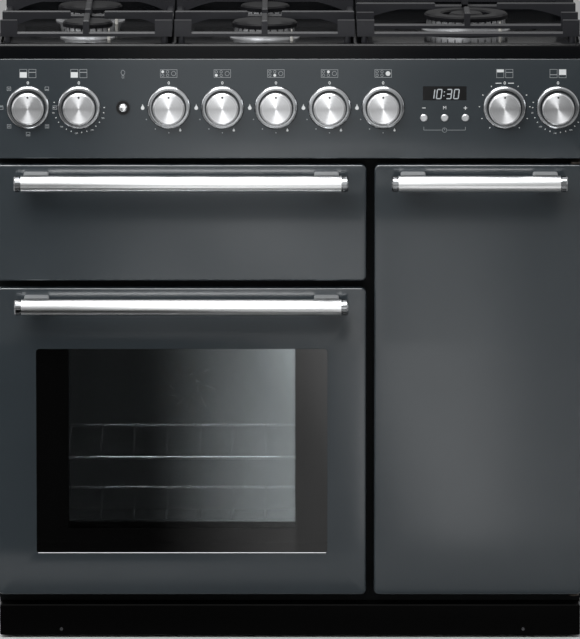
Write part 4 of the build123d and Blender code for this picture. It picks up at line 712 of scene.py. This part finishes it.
# %% Button signs, and three flat pieces
BUTTON_X = [centre_of(name).x / MM for name in ("minus_button", "mode_button", "plus_button")]
LABEL_Z, LABEL = KNOB_Z - 0.6, 5.4
white.append(filled(BUTTON_X[0], LABEL_Z, LABEL, BOLD))
white += lettering("M", BUTTON_X[1], LABEL_Z, LABEL)
white.append(filled(BUTTON_X[2], LABEL_Z, LABEL, BOLD))
for shift in (1.6, -1.6):
    white.append(filled(BUTTON_X[2], LABEL_Z + shift, BOLD, 2.1))
LINE_Z, LINE_GAP, FACE = KNOB_Z - 34.8, 4.5, 7.4
reach = (BUTTON_X[2] - BUTTON_X[0]) / 2
for side in (-1, 1):
    grey.append(filled(BUTTON_X[1] + side * (reach + LINE_GAP) / 2, LINE_Z, reach - LINE_GAP, THIN))
    grey.append(filled(BUTTON_X[1] + side * reach, LINE_Z + 2.6, THIN, 4.6))
grey += ring(BUTTON_X[1], LINE_Z, FACE, FACE, THIN)
grey.append(filled(BUTTON_X[1], LINE_Z + 1.1, THIN, 2.6))

glow_figures, glow_tree, glow_shader, glow_place = finish("glowing_figures", Roughness=0.4)
glow_shader.inputs["Base Color"].default_value = linear("20242a")
glow_shader.inputs["Emission Color"].default_value = linear("d9dfe2")
flicker = add(glow_tree, "ShaderNodeTexNoise", {"Scale": 1 / (4 * MM)}, {"Vector": glow_place})
glow_level = add(glow_tree, "ShaderNodeMapRange", {"To Min": 0.5, "To Max": 0.65}, {"Value": flicker})
join(glow_tree, glow_level, glow_shader, "Emission Strength")
LENS_DEPTH = (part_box("clock_module")[0][1] - FRONT_Y) / MM
PRINTS = [("panel_print", white, INK_DEPTH, white_ink, "white_ceramic"),
          ("panel_print_grey", grey, INK_DEPTH, grey_ink, "white_ceramic"),
          ("clock_figures", glowing, LENS_DEPTH - 0.05, glow_figures, "black_plastic")]
for name, polygons, depth, material, slot in PRINTS:
    piece = flat_piece(name, polygons, depth, material)
    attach(piece, "cabinet")
    print(name, "has", len(polygons), "polygons")

# %% [markdown]
# ## Knob dots
# A drilled dimple near the rim of each knob shows where it points. On the real knob it is filled with dark
# paint, so a small dark disc lies just above its floor, and turns with the knob.

# %% Dark paint in the dimples
knob_paint = grained("dimple_paint", "0a0a0b", "121213", 0.6, 0.01, Roughness=0.6)
DIMPLE_RISE, DIMPLE_RADIUS, DIMPLE_DEPTH = 18.0, 1.6, 0.75
KNOB_FACE = (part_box("wok_knob")[0][1] - FRONT_Y) / MM
for knob in KNOBS:
    disc = circle(KNOB_X[knob], KNOB_Z + DIMPLE_RISE, DIMPLE_RADIUS)
    dot = flat_piece(knob + "_dot", [disc], KNOB_FACE + DIMPLE_DEPTH, knob_paint)
    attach(dot, knob)
print("dots at depth", round(KNOB_FACE + DIMPLE_DEPTH, 2), "mm")

# %% [markdown]
# ## Cap of the light button
# The oven light's button ends in a small polished dome inside its black ring. Each ring of points on the dome
# is a little wider and lies a little deeper than the one before. It moves with the button.

# %% A dome on the light button
def dome(name, node, height, material):
    """A round cap that stands in front of a round solid."""
    low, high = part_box(node)
    middle = centre_of(node)
    radius = (high[0] - low[0]) / 2 * DOME_SHARE
    corners = [(middle.x, low[1] - height, middle.z)]
    faces = []
    for step in range(1, DOME_RINGS + 1):
        slope = math.pi / 2 * step / DOME_RINGS
        reach = radius * math.sin(slope)
        for x, z in circle(middle.x, middle.z, reach, DOME_SIDES):
            corners.append((x, low[1] - height * math.cos(slope), z))
    for side in range(DOME_SIDES):
        follow = (side + 1) % DOME_SIDES
        faces.append((0, 1 + side, 1 + follow))
        for step in range(DOME_RINGS - 1):
            inner = 1 + step * DOME_SIDES
            outer = inner + DOME_SIDES
            faces.append((inner + side, outer + side, outer + follow, inner + follow))
    piece = mesh_piece(name, corners, faces, material)
    piece.data.shade_smooth()
    return piece


DOME_RINGS, DOME_SIDES, DOME_HEIGHT = 6, 24, 3.6 * MM
# The dome is a little narrower than the button.
DOME_SHARE = 0.97
polished_cap = brushed_metal("polished_cap", "d9dadb", 0.2)
light_cap = dome("light_button_cap", "light_button", DOME_HEIGHT, polished_cap)
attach(light_cap, "light_button")
print("dome with", len(light_cap.data.polygons), "faces")

# %% [markdown]
# ## Border of the oven window
# The outer pane is printed black along the sides and the bottom, which hides its fixing and frames the clear
# part. A flat layer a hair in front of the pane stands for the ink and for the gloss of the glass over it,
# which mirrors nearly twice as much as a single face, because a pane has two. It moves with the door.

# %% Black border of the glass
CLEAR_X = (-341.5, 8.5)
CLEAR_FOOT = 172.0
BORDER_X = (-400.0, 67.0)
BORDER_Z = (123.5, 461.5)
BORDER_DEPTH = 1.1
printed_glass = grained("printed_glass", "020202", "040404", 12.0, 0.0, Roughness=0.03,
                        Specular_IOR_Level=0.9)
border_spans = [((BORDER_X[0], CLEAR_X[0]), BORDER_Z), ((CLEAR_X[1], BORDER_X[1]), BORDER_Z),
                (CLEAR_X, (BORDER_Z[0], CLEAR_FOOT))]
border_polygons = [[(x[0], z[0]), (x[1], z[0]), (x[1], z[1]), (x[0], z[1])] for x, z in border_spans]
border = flat_piece("window_border", border_polygons, BORDER_DEPTH, printed_glass)
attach(border, "oven_door")
print("window border:", len(border.data.polygons), "faces")

# %% [markdown]
# ## Bead under the window
# A thin rolled bead lies along the foot of the window, where the pane meets the edge of the pressing. It
# catches the light from above and shows as one bright line.

# %% A round bead
BEAD_RADIUS, BEAD_SIDES, BEAD_DEPTH, BEAD_CLEARANCE = 1.2, 12, 0.6, 2.0
# The border reaches this far past the opening in the pressing, on every side.
BORDER_OVERLAP = 9.5
bead_inset = BORDER_OVERLAP + BEAD_CLEARANCE
BEAD_X = (BORDER_X[0] + bead_inset, BORDER_X[1] - bead_inset)
section = circle(BEAD_DEPTH, BORDER_Z[0] + BORDER_OVERLAP, BEAD_RADIUS, BEAD_SIDES)
bead_corners = [(x * MM, FRONT_Y + depth * MM, z * MM) for x in BEAD_X for depth, z in section]
bead_faces = [tuple(range(BEAD_SIDES))[::-1], tuple(range(BEAD_SIDES, 2 * BEAD_SIDES))]
for side in range(BEAD_SIDES):
    follow = (side + 1) % BEAD_SIDES
    bead_faces.append((side, follow, BEAD_SIDES + follow, BEAD_SIDES + side))
dull_bead = grained("rolled_bead", "77797b", "858789", 0.9, 0.01, Roughness=0.45, Metallic=1.0)
bead = mesh_piece("window_bead", bead_corners, bead_faces, dull_bead)
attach(bead, "oven_door")
print("bead with", len(bead_faces), "faces")

# %% [markdown]
# ## Heat-reflecting coat
# The inner pane carries a metal oxide coat, a few hundred nanometres thick, that throws the oven's heat back.
# It mirrors a good part of the light too, which is why the clear part of the window looks silvery from the
# front. A single face with a half clear metal finish stands for it, a hair in front of the pane.

# %% Coat on the inner pane
coat_finish, coat_tree, coat_shader, coat_place = finish("metal_oxide_coat", Metallic=1.0, Alpha=0.58)
coat_shader.inputs["Base Color"].default_value = linear("dce0e2")
smears = add(coat_tree, "ShaderNodeTexNoise", {"Scale": 1 / (50 * MM), "Detail": 2.0}, {"Vector": coat_place})
coat_rough = add(coat_tree, "ShaderNodeMapRange", {"To Min": 0.03, "To Max": 0.09}, {"Value": smears})
join(coat_tree, coat_rough, coat_shader, "Roughness")
COAT_DEPTH, COAT_MARGIN = 30.7, 1.0
coat_x = (CLEAR_X[0] + CLEAR_X[1]) / 2
COAT_Z = (167.2, 450.5)
coat_width = CLEAR_X[1] - CLEAR_X[0] - 2 * COAT_MARGIN
coat_polygon = filled(coat_x, sum(COAT_Z) / 2, coat_width, COAT_Z[1] - COAT_Z[0])
coat = flat_piece("inner_pane_coat", [coat_polygon], COAT_DEPTH, coat_finish)
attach(coat, "oven_door")
print("coat at depth", COAT_DEPTH, "mm")

# %% [markdown]
# ## Screws
# Pan-head screws hold the back panel and the plinth. They repeat, so one tree makes the head, from a disc
# that is raised, inset and sunk again, and puts one on every point, turned to face the way that its point
# says.

# %% A tree that puts a screw on every point
screw_tree, screw_inputs = make_tree("screws", ["Radius", "Height"])
source = add(screw_tree, "NodeGroupInput")
disc = add(screw_tree, "GeometryNodeMeshCircle", {"fill_type": "NGON", "Vertices": 16},
           {"Radius": source.outputs["Radius"]})
raised = add(screw_tree, "GeometryNodeExtrudeMesh", {"mode": "FACES"},
             {"Mesh": disc, "Offset Scale": source.outputs["Height"]})
domed = add(screw_tree, "GeometryNodeScaleElements", {"Scale": 0.8},
            {"Geometry": raised, "Selection": raised.outputs["Top"]})
inset = add(screw_tree, "GeometryNodeExtrudeMesh", {"mode": "FACES", "Offset Scale": 0.0},
            {"Mesh": domed, "Selection": raised.outputs["Top"]})
socket = add(screw_tree, "GeometryNodeScaleElements", {"Scale": 0.5},
             {"Geometry": inset, "Selection": inset.outputs["Top"]})
depth = add(screw_tree, "ShaderNodeMath", {"operation": "MULTIPLY", 1: -0.6}, {0: source.outputs["Height"]})
sunk = add(screw_tree, "GeometryNodeExtrudeMesh", {"mode": "FACES"},
           {"Mesh": socket, "Selection": inset.outputs["Top"], "Offset Scale": depth})
way = add(screw_tree, "GeometryNodeInputNamedAttribute", {"data_type": "FLOAT_VECTOR", "Name": "facing"})
aligned = add(screw_tree, "FunctionNodeAlignRotationToVector", {"axis": "Z"},
              {"Vector": way.outputs["Attribute"]})
put_on_points(screw_tree, source, sunk, aligned)

FRONT, BACK = (0.0, -1.0, 0.0), (0.0, 1.0, 0.0)
PLINTH_SCREW_X, PLINTH_SCREW_Z = (-0.353, 0.36), 0.0135
plinth_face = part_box("plinth")[0][1]
plinth_spots = [(x, plinth_face, PLINTH_SCREW_Z) for x in PLINTH_SCREW_X]
# Screws run round the edge of the back panel, with this many spaces along each side.
BACK_SPACES, BACK_MARGIN = 6, 9 * MM
back_low, back_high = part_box("back_panel")
first_x, last_x = back_low[0] + BACK_MARGIN, back_high[0] - BACK_MARGIN
first_z, last_z = back_low[2] + BACK_MARGIN, back_high[2] - BACK_MARGIN
back_spots = []
for i in range(BACK_SPACES + 1):
    x = first_x + i / BACK_SPACES * (last_x - first_x)
    back_spots += [(x, back_high[1], first_z), (x, back_high[1], last_z)]
for i in range(1, BACK_SPACES):
    z = first_z + i / BACK_SPACES * (last_z - first_z)
    back_spots += [(first_x, back_high[1], z), (last_x, back_high[1], z)]
zinc_screw = grained("zinc_screw", "9b9da0", "aeb0b3", 0.8, 0.01, Roughness=0.35, Metallic=1.0)
black_screw = grained("blackened_screw", "4a4b4d", "5a5b5d", 0.8, 0.01, Roughness=0.4, Metallic=1.0)
HEAD_SHARE = 0.45
SCREWS = [("plinth_screws", plinth_spots, FRONT, 2.8, black_screw),
          ("panel_screws", back_spots, BACK, 4.0, zinc_screw)]
for name, spots, facing, radius, metal in SCREWS:
    screws = grow(name, screw_tree, screw_inputs, spots, "facing", [facing] * len(spots),
                  {"Radius": radius * MM, "Height": radius * HEAD_SHARE * MM, "Finish": metal})
    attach(screws, "cabinet")
    print(name, len(spots), "with", len(screws.data.polygons), "faces")

# %% [markdown]
# ## World and floor
# The cooker stands on a pale matt floor in front of a white surround, as in a photographer's studio. The
# surround is white for the camera, for mirror-like surfaces and through glass, and dimmer as a lamp, so that
# colours come out as they are written. The floor is attached to no part of the cooker.

# %% White surround and pale floor
bpy.context.scene.view_settings.view_transform = "Standard"
world = bpy.data.worlds.new("studio")
bpy.context.scene.world = world
world.use_nodes = True
sky = world.node_tree
path_kind = add(sky, "ShaderNodeLightPath")
seen = add(sky, "ShaderNodeMath", {"operation": "MAXIMUM"},
           {0: path_kind.outputs["Is Camera Ray"], 1: path_kind.outputs["Is Glossy Ray"]})
seen_or_through = add(sky, "ShaderNodeMath", {"operation": "MAXIMUM"},
                      {0: seen, 1: path_kind.outputs["Is Transmission Ray"]})
levels = {"Color1": (0.5, 0.5, 0.5, 1.0), "Color2": (1.0, 1.0, 1.0, 1.0)}
surround = add(sky, "ShaderNodeMixRGB", levels, {"Fac": seen_or_through})
join(sky, surround, sky.nodes["Background"], "Color")

FLOOR_HALF = 20.0
floor_corners = [(FLOOR_HALF * x, FLOOR_HALF * y, 0.0) for x, y in ((-1, -1), (1, -1), (1, 1), (-1, 1))]
floor_paint = grained("studio_floor", "d4d4d4", "dadada", 30.0, 0.0, Roughness=0.8, Specular_IOR_Level=0.0)
floor = mesh_piece("floor", floor_corners, [(0, 1, 2, 3)], floor_paint)
print("floor", 2 * FLOOR_HALF, "m wide")

# %% [markdown]
# ## Soft boxes
# The box above the front is the main light, and one at the left fills the shadows. Two more do a single job
# each: a strip that only draws bright lines along rounded edges, and a small lamp under the roof of the oven,
# which stands for the daylight that falls in through the glass.

# %% Lamps
def soft_box(name, place, target, width, height, power):
    lamp = bpy.data.lights.new(name, "AREA")
    lamp.shape = "RECTANGLE"
    lamp.size = width
    lamp.size_y = height
    lamp.energy = power
    box = into_scene(name, lamp)
    box.location = place
    box.rotation_euler = (Vector(target) - Vector(place)).to_track_quat("-Z", "Y").to_euler()
    box.visible_camera = False
    return box


soft_box("main_box", (-0.9, -2.3, 2.7), (0.0, -0.1, 0.6), 2.2, 1.6, 60.0)
soft_box("left_box", (-2.6, -1.2, 1.5), (0.0, 0.0, 0.5), 1.2, 1.8, 14.0)
edge_strip = soft_box("edge_strip", (-0.3, -1.0, 2.6), (-0.1, -0.27, 0.75), 1.9, 0.7, 90.0)
edge_strip.visible_diffuse = False
soft_box("oven_lamp", (-0.16, FRONT_Y + 0.075, 0.445), (-0.16, FRONT_Y + 0.13, 0.2), 0.3, 0.02, 0.9)
print("lamps:", len(bpy.data.lights))

# %% [markdown]
# ## Cards for the reflections
# Glossy enamel and glass look like what they mirror, so a photographer sets cards in front of them. Only
# mirror-like surfaces see these. One glows and gives the doors a soft band of light. The others are black
# gauze, which keeps the left of the window, the ends of the panel, the undersides and the hob dark, and the
# cards for the grill and the panel also glow a little in their middle.

# %% What a card is made of
def studio_card(name, corners):
    """A card that only mirror-like surfaces see: its empty tree, and the place on it along each axis."""
    material = bpy.data.materials.new(name)
    material.use_nodes = True
    tree = material.node_tree
    tree.nodes.clear()
    board = mesh_piece(name, corners, [(0, 1, 2, 3)], material)
    board.visible_camera = False
    board.visible_diffuse = False
    board.visible_shadow = False
    place = add(tree, "ShaderNodeTexCoord").outputs["Object"]
    axes = add(tree, "ShaderNodeSeparateXYZ", None, {"Vector": place})
    return tree, {axis: axes.outputs[axis] for axis in ("X", "Y", "Z")}


def shading(tree, axes, steps, others=()):
    """Smooth steps, each from a first to a last value between two places, times the other factors."""
    factors = list(others)
    for axis, start, end, first, last in steps:
        limits = {"From Min": start, "From Max": end, "To Min": first, "To Max": last}
        settings = {"interpolation_type": "SMOOTHSTEP", **limits}
        factors.append(add(tree, "ShaderNodeMapRange", settings, {"Value": axes[axis]}))
    product = factors[0]
    for factor in factors[1:]:
        product = add(tree, "ShaderNodeMath", {"operation": "MULTIPLY"}, {0: product, 1: factor})
    return product


def stripe(tree, axes, level, reach, dark):
    """One outside a rectangle of the card, and less in it, with soft edges."""
    steps = []
    for axis, (start, end), blur in (("Z", level, 0.006), ("X", reach, 0.01)):
        steps += [(axis, start - blur, start, 0.0, 1.0), (axis, end, end + blur, 1.0, 0.0)]
    settings = {"operation": "MULTIPLY_ADD", 1: -dark, 2: 1.0}
    return add(tree, "ShaderNodeMath", settings, {0: shading(tree, axes, steps)})


def gauze(tree, axes, steps, stripes, glow):
    """Black gauze: steps for the light that it lets through, dark stripes, and steps for its own glow."""
    dark = [stripe(tree, axes, *place) for place in stripes]
    clear = add(tree, "ShaderNodeBsdfTransparent", None, {"Color": shading(tree, axes, steps, dark)})
    if not glow:
        return clear
    light = add(tree, "ShaderNodeEmission", None, {"Strength": shading(tree, axes, glow, dark)})
    return add(tree, "ShaderNodeAddShader", None, {0: light, 1: clear})


print("cards can be made")

# %% [markdown]
# ## Light and dark on each card
# Places are in metres, as in the scene. A door shows the point of a card that lies a little lower than
# itself, because the camera looks down. The band of light leans to the left as it goes up. The grill's card
# is darkest where the doors show the space below their handles.

# %% Six cards
def card_corners(first_y, last_y, foot, top):
    """The corners of a card: upright where both depths are the same, flat where both heights are."""
    return [(-CARD_HALF, first_y, foot), (CARD_HALF, first_y, foot),
            (CARD_HALF, last_y, top), (-CARD_HALF, last_y, top)]


CARD_HALF = 0.9
NEAR, FAR = FRONT_Y - 0.25, FRONT_Y - 0.8
tree, axes = studio_card("light_card", card_corners(FAR, FAR, 0.0, 0.62))
axes["lean"] = add(tree, "ShaderNodeMath", {"operation": "MULTIPLY_ADD", 1: 0.6},
                   {0: axes["Z"], 2: axes["X"]})
band = shading(tree, axes, [("lean", 0.1, 0.3, 0.0, 0.95), ("lean", 0.38, 0.75, 1.0, 0.2)])
right_door = shading(tree, axes, [("X", 0.1, 0.16, 0.0, 0.25)])
both = add(tree, "ShaderNodeMath", {"operation": "ADD"}, {0: band, 1: right_door})
strength = shading(tree, axes, [("X", 0.28, 0.46, 1.0, 0.35)], [both])
light = add(tree, "ShaderNodeEmission", None, {"Strength": strength})
clear = add(tree, "ShaderNodeBsdfTransparent")
shown = add(tree, "ShaderNodeAddShader", None, {0: light, 1: clear})
add(tree, "ShaderNodeOutputMaterial", None, {"Surface": shown})

# For each card: the steps for its light, its stripes (heights, widths, how dark) and the steps for its glow.
GAUZE = [
    ("window_card", card_corners(NEAR, NEAR, 0.085, 0.42), [("X", -0.23, 0.08, 0.02, 1.0)],
     [((0.0, 0.5), (0.014, 0.115), 0.3)], []),
    # The right door starts darker behind the gap between the doors and gets its light back to the right.
    ("grill_card", card_corners(NEAR, NEAR, 0.42, 0.71),
     [("X", -0.42, -0.15, 0.5, 1.0), ("X", 0.117, 0.129, 1.0, 0.78), ("X", 0.13, 0.4, 1.0, 1.28)],
     [((0.618, 0.665), (-0.405, 0.43), 0.7), ((0.428, 0.475), (-0.405, 0.09), 0.7)],
     [("X", -0.38, -0.18, 0.0, 0.6), ("X", -0.1, 0.1, 1.0, 0.0)]),
    ("panel_card", card_corners(NEAR, NEAR, 0.71, 1.0),
     [("X", -0.42, -0.15, 0.5, 1.0), ("X", 0.15, 0.42, 1.0, 0.5)], [],
     [("X", -0.38, -0.18, 0.0, 0.55), ("X", 0.05, 0.25, 1.0, 0.0)]),
    ("floor_card", card_corners(FRONT_Y - 0.45, FRONT_Y - 0.05, 0.002, 0.002),
     [("Y", FRONT_Y - 0.45, FRONT_Y - 0.3, 1.0, 0.15)], [], []),
    ("back_card", card_corners(0.75, 0.75, 0.98, 1.5), [("Z", 1.3, 1.5, 0.25, 1.0)], [], []),
]
for name, corners, steps, stripes, glow in GAUZE:
    tree, axes = studio_card(name, corners)
    add(tree, "ShaderNodeOutputMaterial", None, {"Surface": gauze(tree, axes, steps, stripes, glow)})
print("cards:", 1 + len(GAUZE))
